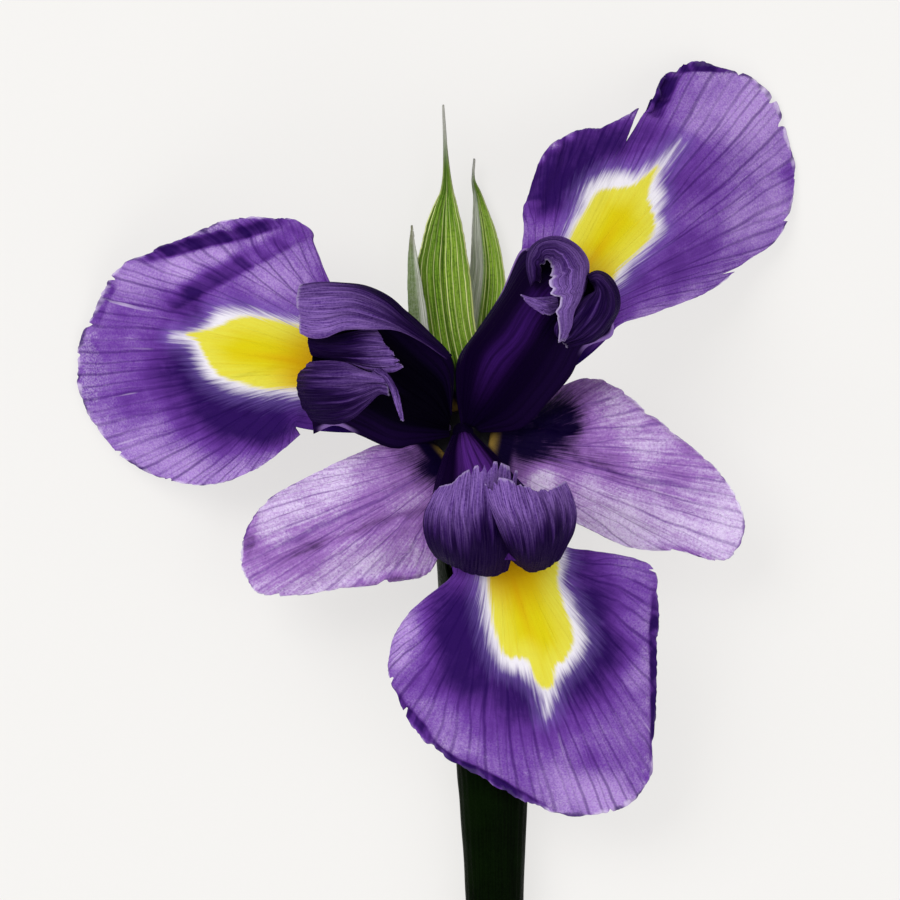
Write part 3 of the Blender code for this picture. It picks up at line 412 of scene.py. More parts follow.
# The stem's middle line and swelling from the cut end up to the node: (y, x, extra radius).
STEM_SWELLING = (
    (-118.0, 5.6, 0.0), (-100.0, 5.4, 0.02), (-84.0, 5.25, 0.15), (-72.0, 5.15, 0.5),
    (-60.0, 5.0, 1.2), (NODE - 3.0, 4.9, 1.6), (NODE - 1.0, 4.85, 1.4),
)
SEAT_Z, SEAT_RADIUS = 6.3, 4.1  # the stem's upper end, inside the bracts
OVARY_LINE = [(4.3, -37.0, 6.8), (4.0, -30.0, 7.2), (3.6, -23.5, 8.2), (2.9, -17.4, 10.2)]
OVARY_RADII = (2.5, 3.0, 3.3, 3.5, 3.5, 3.4, 3.2, 2.9, 2.6)
TUBE_START = [(2.8, -16.9, 10.5), (2.0, -11.6, 12.7), (0.8, -6.2, 15.4)]
TUBE_RADII = (2.4, 2.4, 2.5, 2.7, 3.0, 3.4, 3.9, 4.3, 4.7)
SEAM_GAP = 0.01
# Cells of each surface: claw rows, blade rows and columns of a petal, rows and columns of a bract, and the
# side of an arm's square nets. Ridges are the fine lengthwise ones on an arm's sheets.
FALL_CELLS, STANDARD_CELLS, BRACT_CELLS, ARM_CELLS = (34, 96, 340), (20, 76, 260), (200, 56), 70
ROOF_RIDGES, CREST_RIDGES = 16, 20
PETAL_REST = 0.2  # the least height of a petal's middle surface over the floor
BRACT_REST = 0.3  # lifts the bracts so that the midrib of the lowest one rests on the floor


# ---------------------------------------------------------------------------------------------------------
# Drawing helpers

def unit(vector):
    vector = np.asarray(vector, float)
    return vector / np.linalg.norm(vector)


def smooth_line(points, places):
    """A Catmull-Rom curve through the points, read at places from 0 (first point) to 1 (last point)."""
    points = np.asarray(points, float)
    padded = np.vstack([2 * points[0] - points[1], points, 2 * points[-1] - points[-2]])
    along = np.clip(np.asarray(places, float), 0, 1) * (len(points) - 1)
    first = np.minimum(along.astype(int), len(points) - 2)
    u = (along - first)[:, None]
    a, b, c, d = (padded[first + k] for k in range(4))
    return b + 0.5 * u * (c - a + u * (2 * a - 5 * b + 4 * c - d + u * (3 * (b - c) + d - a)))


def hermite(start, start_pull, end, end_pull, u):
    """The cubic from start to end that leaves and arrives along the given pulls."""
    return (
        (2 * u**3 - 3 * u**2 + 1) * start
        + (u**3 - 2 * u**2 + u) * start_pull
        + (3 * u**2 - 2 * u**3) * end
        + (u**3 - u**2) * end_pull
    )


def ring_point(azimuth, radius, height):
    """A point on a ring round the flower's axis, that height above the throat."""
    turn = math.radians(azimuth)
    return THROAT + radius * (math.cos(turn) * BACKWARD + math.sin(turn) * RIGHTWARD) + height * AXIS


def soft_hills(x, y, seed):
    """Smooth random heights between -1 and 1 over the plane, one hill to each unit square."""
    heights = np.random.default_rng(seed).uniform(-1, 1, (64, 64))
    x, y = np.broadcast_arrays(np.asarray(x, float), np.asarray(y, float))
    left, front = np.floor(x).astype(int), np.floor(y).astype(int)
    u, v = x - left, y - front
    u, v = u * u * (3 - 2 * u), v * v * (3 - 2 * v)
    a, b = heights[left % 64, front % 64], heights[(left + 1) % 64, front % 64]
    c, d = heights[left % 64, (front + 1) % 64], heights[(left + 1) % 64, (front + 1) % 64]
    return a * (1 - u) * (1 - v) + b * u * (1 - v) + c * (1 - u) * v + d * u * v


def ease(value, low, high):
    """A smooth step from 0 at low to 1 at high."""
    t = np.clip((np.asarray(value, float) - low) / (high - low), 0, 1)
    return t * t * (3 - 2 * t)


def sheet_normals(grid):
    """Unit normals of a grid of points."""
    normals = np.cross(np.gradient(grid, axis=1), np.gradient(grid, axis=0))
    return normals / np.maximum(np.linalg.norm(normals, axis=2, keepdims=True), 1e-9)


def from_segment(points, start, end):
    """Distance of each point from a segment in plan, and the place of its foot, from 0 to 1."""
    start, end = np.array(start), np.array(end)
    run = end - start
    offset = points[..., :2] - start
    place = np.clip((offset @ run) / (run @ run), 0, 1)
    away = offset - place[..., None] * run
    side = np.sign(run[0] * away[..., 1] - run[1] * away[..., 0])
    return np.linalg.norm(away, axis=-1) * side, place


# ---------------------------------------------------------------------------------------------------------
# Meshes

def add_sheet(name, grids, thickness, materials):
    """Makes one object from sheets. Each sheet is (grid, places, tones, extra places or None, material).

    A thickness of zero leaves a closed surface as it is."""
    points, faces, uvs, extras, tones, slots = [], [], [], [], [], []
    for grid, places, tone, extra, slot in grids:
        rows, columns = grid.shape[:2]
        corner = np.arange(rows * columns).reshape(rows, columns) + len(points)
        quads = np.stack([corner[:-1, :-1], corner[:-1, 1:], corner[1:, 1:], corner[1:, :-1]], axis=-1)
        points.extend(grid.reshape(-1, 3))
        uvs.extend(places.reshape(-1, 2))
        extras.extend((places if extra is None else extra).reshape(-1, 2))
        tones.extend(np.broadcast_to(tone, (rows, columns)).reshape(-1))
        faces.extend(quads.reshape(-1, 4).tolist())
        slots.extend([slot] * ((rows - 1) * (columns - 1)))
    mesh = bpy.data.meshes.new(name)
    placed = (np.array(points) + DRAWING_TO_FRAME) * MM
    mesh.from_pydata([Vector(p) for p in placed], [], faces)
    mesh.shade_smooth()
    for material in materials:
        mesh.materials.append(material)
    mesh.polygons.foreach_set("material_index", slots)
    corners = np.empty(len(mesh.loops), dtype=np.int32)
    mesh.loops.foreach_get("vertex_index", corners)
    for layer_name, values in (("across_along", uvs), ("signal", extras)):
        layer = mesh.uv_layers.new(name=layer_name)
        layer.data.foreach_set("uv", np.array(values, np.float32)[corners].ravel())
    # The shade attribute carries each sheet's tone: its own colour zones, and on petals, arms and crests also
    # painted light and shade.
    shade = mesh.attributes.new("shade", "FLOAT", "POINT")
    shade.data.foreach_set("value", np.array(tones, np.float32))
    piece = bpy.data.objects.new(name, mesh)
    bpy.context.scene.collection.objects.link(piece)
    if thickness > 0:
        solidify = piece.modifiers.new("thickness", "SOLIDIFY")
        solidify.thickness = thickness * MM
        solidify.offset = 0.0
    return piece


def stand_for(piece, node):
    """Ties a finished piece to the frame: puts it under its body and hides the node it stands for."""
    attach(piece, "root")
    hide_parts(node)


def petal_surface(leaf, half_width, claw_rows, blade_rows, columns):
    """A petal's middle surface: a claw up to the hinge, then a blade fanned to its ragged margin."""
    turn = math.radians(leaf["azimuth"])
    across = -math.sin(turn) * BACKWARD + math.cos(turn) * RIGHTWARD
    outward = np.array((math.sin(turn), math.cos(turn), 0.0))
    sideways = np.cross(outward, UP)
    side = np.linspace(-1, 1, columns + 1)
    seed = leaf["ruffle"][2]
    root = ring_point(leaf["azimuth"], CLAW_RING_RADIUS, CLAW_RING_HEIGHT)
    base = root + side[:, None] * half_width * across
    hinge = np.array(leaf["hinge"]) + side[:, None] * leaf["hinge_half_width"] * sideways
    margin = smooth_line(leaf["margin"], (side + 1) / 2)
    reach = np.linalg.norm(hinge - base, axis=1, keepdims=True)
    fan = margin - hinge
    fan[:, 2] = 0
    span = np.linalg.norm(fan, axis=1, keepdims=True)
    fan = fan / span
    arrival = 0.8 * outward + 0.2 * fan + leaf["hinge_slope"] * UP
    arrival = arrival / np.linalg.norm(arrival, axis=1, keepdims=True)
    nicks = 0.16 * np.maximum(soft_hills(side * 90, 0, seed), 0)
    bites = 0.3 * np.maximum(soft_hills(side * 31, 3, seed), 0)
    frays = 0.12 * (1 + soft_hills(side * 12, 7, seed)) * np.maximum(soft_hills(side * 190, 5, seed), 0)
    cut = nicks + bites + frays
    for place, depth, width in leaf["tears"]:
        cut = cut + depth * np.clip(1 - np.abs(side - place) / width, 0, 1) ** 0.8
    cut = cut * ease(1 - np.abs(side), 0.0, 0.1)
    keep = 1 - np.clip(cut / span[:, 0], 0, 0.6)
    rows, along = [], []
    for u in np.linspace(0, 1, claw_rows, endpoint=False):
        rows.append(hermite(base, CLAW_RISE * AXIS * reach, hinge, arrival * reach, u))
        along.append(np.full(columns + 1, 0.6 * (u - 1)))
    leaving = (0.5 * outward + 0.5 * fan + leaf["hinge_slope"] * UP) * span
    arriving = (fan + leaf["margin_slope"] * UP) * span
    for t in np.linspace(0, 1, blade_rows + 1):
        v = (1 - (1 - t) ** 1.25) * keep
        rows.append(hermite(hinge, leaving, margin, arriving, v[:, None]))
        along.append(v)
    grid, along = np.array(rows), np.array(along)
    side = np.broadcast_to(side, along.shape)
    return grid, np.stack([(side + 1) / 2, along], axis=-1)


def crumple(leaf, grid, places):
    """Ruffles, pleats and tints of one petal: the raised grid and its tones, from -1 (pale) to 1 (dark). The
    tones mix the petal's own colour zones with painted shade and light along its pleats and curls.
    """
    amplitude, teeth, seed = leaf["ruffle"]
    across, along = places[..., 0], places[..., 1]
    outer = ease(along, 0.35, 1.0)
    edge = ease(along, 0.82, 1.0)
    lift = amplitude * outer * soft_hills(across * teeth * 0.4, along * 1.5, seed + 1)
    lift = lift + 0.35 * amplitude * edge * soft_hills(across * teeth * 1.4, along * 2, seed + 2)
    lift = lift + 0.16 * amplitude * edge * soft_hills(across * teeth * 4, along * 5, seed + 3)
    lift = lift + 0.05 * outer * soft_hills(across * 150, along * 6, seed + 4)
    lift = lift + 0.07 * ease(along, 0.1, 0.5) * soft_hills(grid[..., 0] * 0.8, grid[..., 1] * 0.8, seed + 5)
    tone = leaf["depth"] * (0.95 * ease(along, 0.95, 0.2) - 0.25)
    for start, end, left, right, height, painted_crease_shade in leaf["folds"]:
        away, place = from_segment(grid, start, end)
        away = away + 0.3 * min(left, right) * soft_hills(place * 7, left, seed + 6)
        band = np.exp(-((away / np.where(away > 0, left, right)) ** 2) * 1.4) * ease(along, 0.0, 0.15)
        band = band * (0.15 + 0.85 * ease(place, 0.0, 0.12) * ease(1 - place, 0.0, 0.12))
        creases = soft_hills(place * math.dist(start, end) / 1.1 + away * 0.5, 3, seed + 7)
        lift = lift + (height + 0.16 * creases) * band
        fading = ease(place, 0.0, 0.25) * ease(1 - place, 0.0, 0.3)
        # Painted shade along each pleat's crease and where the margin curls down away from the light; a
        # negative value paints light instead.
        tone = tone + painted_crease_shade * (0.9 + 0.4 * creases) * ease(band, 0.1, 0.8) * fading
    # Blots: the petal's own colour zones, and painted shade where it curves down to its claw and painted light
    # where it faces up.
    for x, y, reach, tint in leaf["blots"]:
        away = np.hypot(grid[..., 0] - x, grid[..., 1] - y) / reach
        tone = tone + tint * np.exp(-(away**2))
    tone = tone + 0.16 * soft_hills(grid[..., 0] / 5, grid[..., 1] / 5, seed + 8)
    return grid + lift[..., None] * sheet_normals(grid), np.clip(tone, -1, 1)


def depth_inside(outline, grid):
    """How far each point lies inside a closed outline in plan, in millimetres; negative outside."""
    ring = smooth_line(outline + outline[:1], np.linspace(0, 1, 6 * len(outline) + 1))
    x, y = grid[..., 0], grid[..., 1]
    away = np.full(x.shape, 1e3)
    inside = np.zeros(x.shape, bool)
    for (x0, y0), (x1, y1) in zip(ring[:-1], ring[1:]):
        distance, _ = from_segment(grid, (x0, y0), (x1, y1))
        away = np.minimum(away, np.abs(distance))
        if y1 != y0:
            inside ^= ((y0 > y) != (y1 > y)) & (x < x0 + (y - y0) / (y1 - y0) * (x1 - x0))
    return np.where(inside, away, -away)


def build_petals(materials):
    for name, fall in FALLS.items():
        grid, places = petal_surface(fall, FALL_CLAW_HALF_WIDTH, *FALL_CELLS)
        grid, tones = crumple(fall, grid, places)
        grid[..., 2] = np.maximum(grid[..., 2], PETAL_REST)
        signal = np.stack([depth_inside(fall["yellow"], grid), depth_inside(fall["white"], grid)], axis=-1)
        sheets = [(grid, places, tones, signal, 0)]
        piece = add_sheet(name + "_petal", sheets, PETAL_THICKNESS, [materials["fall"]])
        stand_for(piece, name)
    for name, standard in STANDARDS.items():
        grid, places = petal_surface(standard, STANDARD_CLAW_HALF_WIDTH, *STANDARD_CELLS)
        grid, tones = crumple(standard, grid, places)
        sheets = [(grid, places, tones, None, 0)]
        piece = add_sheet(name + "_petal", sheets, PETAL_THICKNESS, [materials["standard"]])
        stand_for(piece, name)


def net_surface(net, teeth, notches, ridges, seed):
    """A smooth sheet through a net of points, with ragged free edges and fine ridges along its length."""
    net = np.array(net, float)
    rows = columns = ARM_CELLS
    side = np.linspace(0, 1, columns + 1)
    across = np.array([smooth_line(row, side) for row in net])
    length = np.linalg.norm(np.diff(across, axis=0), axis=2).sum(axis=0)
    cut = teeth * np.maximum(soft_hills(side * 19, 1, seed) + 0.5 * soft_hills(side * 47, 2, seed), 0)
    keep = 1 - np.clip(cut / length, 0, 0.3)
    grid, along = [], []
    for column in range(columns + 1):
        v = np.linspace(0, 1, rows + 1) * keep[column]
        grid.append(smooth_line(across[:, column], v))
        along.append(v)
    grid, along = np.array(grid).transpose(1, 0, 2), np.array(along).T
    side = np.array(np.broadcast_to(side, along.shape))
    down = np.linspace(0, 1, rows + 1)
    nicks = np.maximum(soft_hills(down * 17, 5, seed), 0)
    notch = notches * (nicks + 0.4 * np.maximum(soft_hills(down * 41, 6, seed), 0))
    for row in range(rows + 1):
        drawn_in = side[row] * (1 - notch[row])
        grid[row] = np.array([np.interp(drawn_in, side[row], grid[row][:, k]) for k in range(3)]).T
    lift = 0.12 * soft_hills(side * ridges, along * 1.5, seed + 1)
    lift = lift + 0.06 * soft_hills(side * ridges * 2.7, along * 3, seed + 2)
    lift = lift + 0.45 * ease(along, 0.1, 0.8) * soft_hills(side * 6, along * 1.2, seed + 3)
    return grid + lift[..., None] * sheet_normals(grid), np.stack([side, along], axis=-1)


def build_style(materials):
    """The three arms. Each has a dark roof and paler crests that curl over it, with painted light and shade in
    their tones.
    """
    for number, (name, parts) in enumerate(STYLE_ARMS.items()):
        sheets = []
        for order, (part, net) in enumerate(parts.items()):
            seed = 100 + 20 * number + order
            if part == "roof":
                grid, places = net_surface(net, 0.0, 0.0, ROOF_RIDGES, seed)
                # The roof's tone is its painted light.
                sheets.append((grid, places, ARM_PAINTED_LIGHT[name], None, 0))
                continue
            first, last, foot, tip, teeth, notches = CRESTS[part]
            grid, places = net_surface(net, teeth, notches, CREST_RIDGES, seed)
            across, along = places[..., 0], places[..., 1]
            # Painted light and shade: paler where the curl faces the light, darker at its foot and on its
            # turned-away side.
            tones = first + (last - first) * across + foot + (tip - foot) * along
            tones = tones + 0.25 * soft_hills(across * 4, along * 2, seed + 9)
            rim = ease(across, 0.93, 1.0) if notches > 0 else np.zeros_like(across)
            sheets.append((grid, places, tones, np.stack([rim, rim], axis=-1), 1))
        piece = add_sheet(name + "_crested", sheets, CREST_THICKNESS, [materials["arm"], materials["crest"]])
        stand_for(piece, name)


def build_bracts(materials):
    for number, (name, stations) in enumerate(BRACTS.items()):
        rows, columns = BRACT_CELLS
        seed = 200 + number
        sampled = smooth_line(stations, np.linspace(0, 1, rows + 1))
        side = np.linspace(-1, 1, columns + 1)
        grid = []
        for row, (y, x, under, radius, roll, wrap) in enumerate(sampled):
            fray = 0.06 * soft_hills(row / 14, side * 0.5 + 1, seed) + 0.02 * soft_hills(row / 1.7, 4, seed)
            half = max(wrap, 0.5) * (1 + fray * np.abs(side) ** 3)
            angles = np.radians(roll - side * half)
            rib = 0.10 * np.cos(side * math.pi * 7) * min(1.0, wrap / 20)
            crease = -0.35 * np.exp(-((side * half / 7) ** 2)) * min(1.0, wrap / 12)
            reach = radius + (rib - crease if name != "membrane_bract" else 0.3 * rib)
            grid.append(np.stack([
                x + reach * np.sin(angles),
                y + 0.2 * soft_hills(side * 6, row / 8, seed + 1),
                under + BRACT_REST + radius - reach * np.cos(angles),
            ], axis=1))
        grid = np.array(grid)
        along = np.broadcast_to(np.linspace(0, 1, rows + 1)[:, None], grid.shape[:2])
        places = np.stack([np.broadcast_to((side + 1) / 2, along.shape), along], axis=-1)
        tones = 0.4 * soft_hills(places[..., 0] * 3, along * 8, seed + 2)
        papery = ease(places[..., 0], 0.56, 0.68) if name == "outer_bract" else np.zeros_like(along)
        # The second value is the station along the stem, which the finish uses for the painted shadow of the
        # flower.
        extra = np.stack([papery, grid[..., 1]], axis=-1)
        slot = "membrane" if name == "membrane_bract" else "bract"
        sheets = [(grid, places, tones, extra, 0)]
        piece = add_sheet(name + "_leaf", sheets, BRACT_THICKNESS, [materials[slot]])
        stand_for(piece, name)


def stalk_surface(path, radii, sides, seed, ribs=0, rib_depth=0.0, grain=0.0, slant=0.0):
    """A round stalk lofted along a path and closed by domed ends, drawn as one sheet of rings."""
    path, radii = np.asarray(path, float), np.asarray(radii, float)
    tangents = np.gradient(path, axis=0)
    angles = np.linspace(0, 2 * math.pi, sides + 1)
    rings, places, normal = [], [], UP
    rows = len(path)
    caps = np.linspace(0, 1, 9)[:-1]
    order = [(0, c) for c in caps] + [(r, 1.0) for r in range(rows)] + [(rows - 1, c) for c in caps[::-1]]
    for row, swell in order:
        tangent = unit(tangents[row])
        normal = unit(normal - tangent * np.dot(normal, tangent))
        sideways = np.cross(tangent, normal)
        rough = grain * soft_hills(angles / (2 * math.pi) * 64, row / 10, seed)
        reach = radii[row] * (1 + rib_depth * np.cos(ribs * angles)) + rough * swell
        reach = reach * swell
        tilt = slant * reach * np.cos(angles) if row == 0 else np.zeros(sides + 1)
        ring = (
            path[row]
            + (reach * np.cos(angles))[:, None] * normal
            + (reach * np.sin(angles))[:, None] * sideways
            + tilt[:, None] * tangent
        )
        ring[:, 2] = np.maximum(ring[:, 2], 0)
        rings.append(ring)
        along = row / (rows - 1)
        if swell < 1:
            along = -swell if row == 0 else 1 + swell
        places.append(np.stack([angles / (2 * math.pi), np.full(sides + 1, along)], axis=1))
    return np.array(rings), np.array(places)


def add_stalk(name, surface, material, node):
    """A stalk's rings joined into one closed mesh, with the seam and the two end points merged."""
    grid, places = surface
    piece = add_sheet(name, [(grid, places, 0.0, None, 0)], 0, [material])
    weld = piece.modifiers.new("seam", "WELD")
    weld.merge_threshold = SEAM_GAP * MM
    stand_for(piece, node)


def smooth_radii(radii, places):
    """Radii along a stalk that change smoothly."""
    return smooth_line([(radius,) for radius in radii], places)[:, 0]


def build_stalks(materials):
    """Stem, ovary and perianth tube, from the cut end to the throat."""
    swelling = smooth_line(STEM_SWELLING, np.linspace(0, 1, 150))
    path = [(x, y, STEM_RADIUS + extra) for y, x, extra in swelling]
    radii = [STEM_RADIUS + extra for _, _, extra in swelling]
    seat = np.linspace(NODE - 0.3, NODE + 7.0, 12)
    path += [(4.8 - 0.2 * k / 11, y, SEAT_Z) for k, y in enumerate(seat)]
    radii += [SEAT_RADIUS] * len(seat)
    surface = stalk_surface(path, radii, 96, 301, ribs=24, rib_depth=0.006, grain=0.04, slant=0.35)
    add_stalk("stem_stalk", surface, materials["stem"], "stem")
    places = np.linspace(0, 1, 60)
    ovary = smooth_line(OVARY_LINE, places)
    ovary_radii = smooth_radii(OVARY_RADII, places)
    surface = stalk_surface(ovary, ovary_radii, 60, 302, ribs=3, rib_depth=0.09, grain=0.03)
    add_stalk("ovary_body", surface, materials["tube"], "ovary")
    rim = THROAT - 0.4 * AXIS
    tube = smooth_line(TUBE_START + [rim - 2.2 * AXIS, rim], places)
    tube_radii = smooth_radii(TUBE_RADII, places)
    surface = stalk_surface(tube, tube_radii, 60, 303, ribs=6, rib_depth=0.015, grain=0.03)
    add_stalk("perianth_tube_body", surface, materials["throat"], "perianth_tube")


# ---------------------------------------------------------------------------------------------------------
# Finishes

class Recipe:
    """Adds nodes to one tree. add returns the node, the other methods the sockets that carry their results."""

    def __init__(self, tree):
        self.tree = tree
        tree.nodes.clear()

    def add(self, kind, inputs=None, **settings):
        made = self.tree.nodes.new(kind)
        for setting, value in settings.items():
            setattr(made, setting, value)
        for place, value in (inputs or {}).items():
            if isinstance(value, bpy.types.NodeSocket):
                self.tree.links.new(value, made.inputs[place])
            else:
                made.inputs[place].default_value = value
        return made

    def math(self, operation, first, second=0.5, third=0.5):
        values = {0: first, 1: second, 2: third}
        return self.add("ShaderNodeMath", values, operation=operation).outputs[0]

    def step(self, value, low, high, bottom=0.0, top=1.0):
        """A smooth step from bottom to top as value goes from low to high."""
        inputs = {0: value, 1: low, 2: high, 3: bottom, 4: top}
        return self.add("ShaderNodeMapRange", inputs, interpolation_type="SMOOTHSTEP").outputs[0]

    def times(self, first, second):
        return self.math("MULTIPLY", first, second)

    def scaled(self, value, scale, base):
        """The value times scale, added to base."""
        return self.math("MULTIPLY_ADD", value, scale, base)

    def mix(self, amount, first, second):
        first, second = (c if isinstance(c, bpy.types.NodeSocket) else (*c, 1.0) for c in (first, second))
        inputs = {0: amount, 6: first, 7: second}
        return self.add("ShaderNodeMix", inputs, data_type="RGBA").outputs[2]

    def noise(self, place, scale=1.0, detail=2.0, roughness=0.55):
        inputs = {"Vector": place, "Scale": scale, "Detail": detail, "Roughness": roughness}
        return self.add("ShaderNodeTexNoise", inputs).outputs["Fac"]

    def streaks(self, place, across, along, level=0.0, detail=2.0, roughness=0.55):
        """Noise that runs one way: its place is scaled apart across and along."""
        scale = {0: place, 1: (across, along, 1.0), 2: (0.0, 0.0, level)}
        stretched = self.add("ShaderNodeVectorMath", scale, operation="MULTIPLY_ADD").outputs[0]
        return self.noise(stretched, 1.0, detail, roughness)

    def layer(self, name):
        return self.add("ShaderNodeUVMap", uv_map=name).outputs[0]

    def tone(self):
        return self.add("ShaderNodeAttribute", attribute_name="shade").outputs["Fac"]

    def surface_place(self):
        return self.add("ShaderNodeTexCoord").outputs["Object"]

    def group(self, tree, inputs):
        return self.add("ShaderNodeGroup", inputs, node_tree=tree).outputs

    def split(self, vector):
        return self.add("ShaderNodeSeparateXYZ", {0: vector}).outputs

    def from_middle(self, across):
        return self.math("ABSOLUTE", self.math("SUBTRACT", across, 0.5))

    def bump(self, height, distance, strength=1.0):
        inputs = {"Height": height, "Distance": distance, "Strength": strength}
        return self.add("ShaderNodeBump", inputs).outputs[0]


def new_group(name, inputs, outputs):
    """A shader node group with named sockets. Returns its recipe, its inputs and its output node."""
    tree = bpy.data.node_groups.new(name, "ShaderNodeTree")
    for socket, kind in inputs.items():
        tree.interface.new_socket(name=socket, in_out="INPUT", socket_type=kind)
    for socket in outputs:
        tree.interface.new_socket(name=socket, in_out="OUTPUT", socket_type="NodeSocketFloat")
    recipe = Recipe(tree)
    ports = recipe.add("NodeGroupInput").outputs
    return recipe, ports, recipe.add("NodeGroupOutput").inputs


VECTOR, NUMBER = "NodeSocketVector", "NodeSocketFloat"


def petal_veins_group():
    """Veins that fan out along a petal, with finer ones between them further out, and streaky tissue."""
    sockets = {"Place": VECTOR, "Count": NUMBER, "Wander": NUMBER, "Width": NUMBER}
    recipe, ports, result = new_group("petal_veins", sockets, ("Veins", "Streaks"))
    across, along = recipe.split(ports["Place"])[:2]
    drift = recipe.streaks(ports["Place"], 3.4, 1.6, 0.0, 1.0, 0.35)
    drift = recipe.times(recipe.math("SUBTRACT", drift, 0.5), ports["Wander"])
    wiggle = recipe.streaks(ports["Place"], 11.0, 7.0, 3.0, 2.0, 0.5)
    drift = recipe.scaled(recipe.math("SUBTRACT", wiggle, 0.5), 0.2, drift)
    line = recipe.scaled(across, ports["Count"], drift)
    main = recipe.math("DIVIDE", recipe.math("PINGPONG", line, 0.5), ports["Width"])
    forking = recipe.step(along, 0.25, 0.75, 0.0, 0.5)
    between = recipe.math("PINGPONG", recipe.math("ADD", line, forking), 0.5)
    between = recipe.math("DIVIDE", between, recipe.times(ports["Width"], 0.75))
    spreading = recipe.step(along, 0.5, 0.95, 0.0, 0.26)
    fine = recipe.math("PINGPONG", recipe.math("SUBTRACT", line, spreading), 0.5)
    fine = recipe.math("DIVIDE", fine, recipe.times(ports["Width"], 0.55))
    strong = recipe.step(main, 1.0, 0.2)
    middle = recipe.times(recipe.step(between, 1.0, 0.2), recipe.step(along, 0.25, 0.4, 0.0, 0.8))
    thin = recipe.times(recipe.step(fine, 1.0, 0.2), recipe.step(along, 0.5, 0.65, 0.0, 0.5))
    veins = recipe.math("MAXIMUM", recipe.math("MAXIMUM", strong, middle), thin)
    broken = recipe.streaks(ports["Place"], 30.0, 3.0, 0.0, 1.0)
    veins = recipe.times(veins, recipe.step(broken, 0.3, 0.6, 0.5, 1.0))
    recipe.tree.links.new(veins, result["Veins"])
    streaks = recipe.streaks(ports["Place"], 95.0, 3.4, 4.0, 3.0, 0.65)
    recipe.tree.links.new(streaks, result["Streaks"])
    return recipe.tree


def tissue_grain_group():
    """The frosty speckle of petal tissue and the relief of its cells."""
    sockets = {"Place": VECTOR, "Size": NUMBER}
    recipe, ports, result = new_group("tissue_grain", sockets, ("Speckle", "Height"))
    fine = recipe.noise(ports["Place"], ports["Size"], 3.0, 0.75)
    recipe.tree.links.new(recipe.step(fine, 0.34, 0.68), result["Speckle"])
    cells = recipe.add("ShaderNodeTexVoronoi", {"Vector": ports["Place"], "Scale": ports["Size"]})
    height = recipe.scaled(cells.outputs["Distance"], -0.6, fine)
    recipe.tree.links.new(height, result["Height"])
    return recipe.tree


def frayed_edge_group():
    """A pale, uneven line along a petal's margin."""
    sockets = {"Place": VECTOR, "Width": NUMBER, "Raggedness": NUMBER}
    recipe, ports, result = new_group("frayed_edge", sockets, ("Edge",))
    along = recipe.split(ports["Place"])[1]
    ragged = recipe.math("SUBTRACT", recipe.streaks(ports["Place"], 40.0, 14.0, 0.0, 3.0, 0.7), 0.5)
    from_edge = recipe.math("SUBTRACT", 1.0, along)
    reach = recipe.scaled(ragged, ports["Raggedness"], ports["Width"])
    edge = recipe.step(recipe.math("DIVIDE", from_edge, recipe.math("MAXIMUM", reach, 0.001)), 1.0, 0.3)
    recipe.tree.links.new(edge, result["Edge"])
    return recipe.tree


def finish_material(recipe, colour, roughness, normal, **constants):
    """The shader itself. Constants go on its own sockets."""
    inputs = {"Base Color": colour, "Roughness": roughness, "Normal": normal}
    inputs.update({socket.replace("_", " "): value for socket, value in constants.items()})
    shader = recipe.add("ShaderNodeBsdfPrincipled", inputs)
    recipe.add("ShaderNodeOutputMaterial", {0: shader.outputs[0]})


def new_finish(name):
    material = bpy.data.materials.new(name)
    material.use_nodes = True
    return material, Recipe(material.node_tree)


# Linear colours.
FALL_MID, FALL_LIGHT, FALL_DARK = (0.140, 0.040, 0.325), (0.350, 0.190, 0.570), (0.011, 0.0012, 0.062)
FALL_VEIN, FALL_EDGE, FRINGE_LILAC = (0.036, 0.005, 0.120), (0.62, 0.52, 0.74), (0.22, 0.14, 0.48)
STANDARD_MID, STANDARD_LIGHT = (0.280, 0.120, 0.430), (0.570, 0.410, 0.710)
STANDARD_DARK, STANDARD_VEIN = (0.0035, 0.0003, 0.020), (0.085, 0.022, 0.210)
STANDARD_FROST = (0.76, 0.70, 0.86)
WHITE_PATCH, PALE_YELLOW = (0.80, 0.77, 0.82), (0.68, 0.63, 0.06)
YELLOW, ORANGE = (0.62, 0.53, 0.006), (0.62, 0.33, 0.002)
CLAW_OLIVE = (0.36, 0.23, 0.045)
# Arm colours: the first is the arm's near-black in painted shade; on the next line the first is its own
# near-black and the second a brighter, painted lit copy of the rib.
ARM_SHADED, ARM_RIB, ARM_EDGE = (0.0010, 0.0003, 0.0036), (0.030, 0.0055, 0.092), (0.0085, 0.0020, 0.028)
ARM_BODY, ARM_RIB_LIT = (0.0036, 0.0004, 0.0130), (0.090, 0.020, 0.220)
CREST_DARK, CREST_MID, CREST_PALE = (0.0060, 0.0008, 0.026), (0.066, 0.017, 0.190), (0.330, 0.190, 0.560)
CREST_RIM = (0.56, 0.46, 0.72)
LEAF_LIGHT, LEAF_MID, LEAF_FIBRE = (0.330, 0.530, 0.045), (0.120, 0.290, 0.010), (0.022, 0.080, 0.002)
LEAF_BRIGHT, LEAF_SPECK, LEAF_FLANK = (0.400, 0.560, 0.120), (0.026, 0.085, 0.003), (0.30, 0.46, 0.06)
LEAF_VEIN, LEAF_MIDRIB, LEAF_EDGE = (0.92, 0.98, 0.42), (0.012, 0.038, 0.004), (0.30, 0.36, 0.12)
LEAF_SKIN_GREY, LEAF_SKIN_WHITE = (0.36, 0.40, 0.28), (0.86, 0.87, 0.82)
LEAF_SHOULDER, LEAF_TIP = (0.060, 0.120, 0.015), (0.42, 0.41, 0.38)
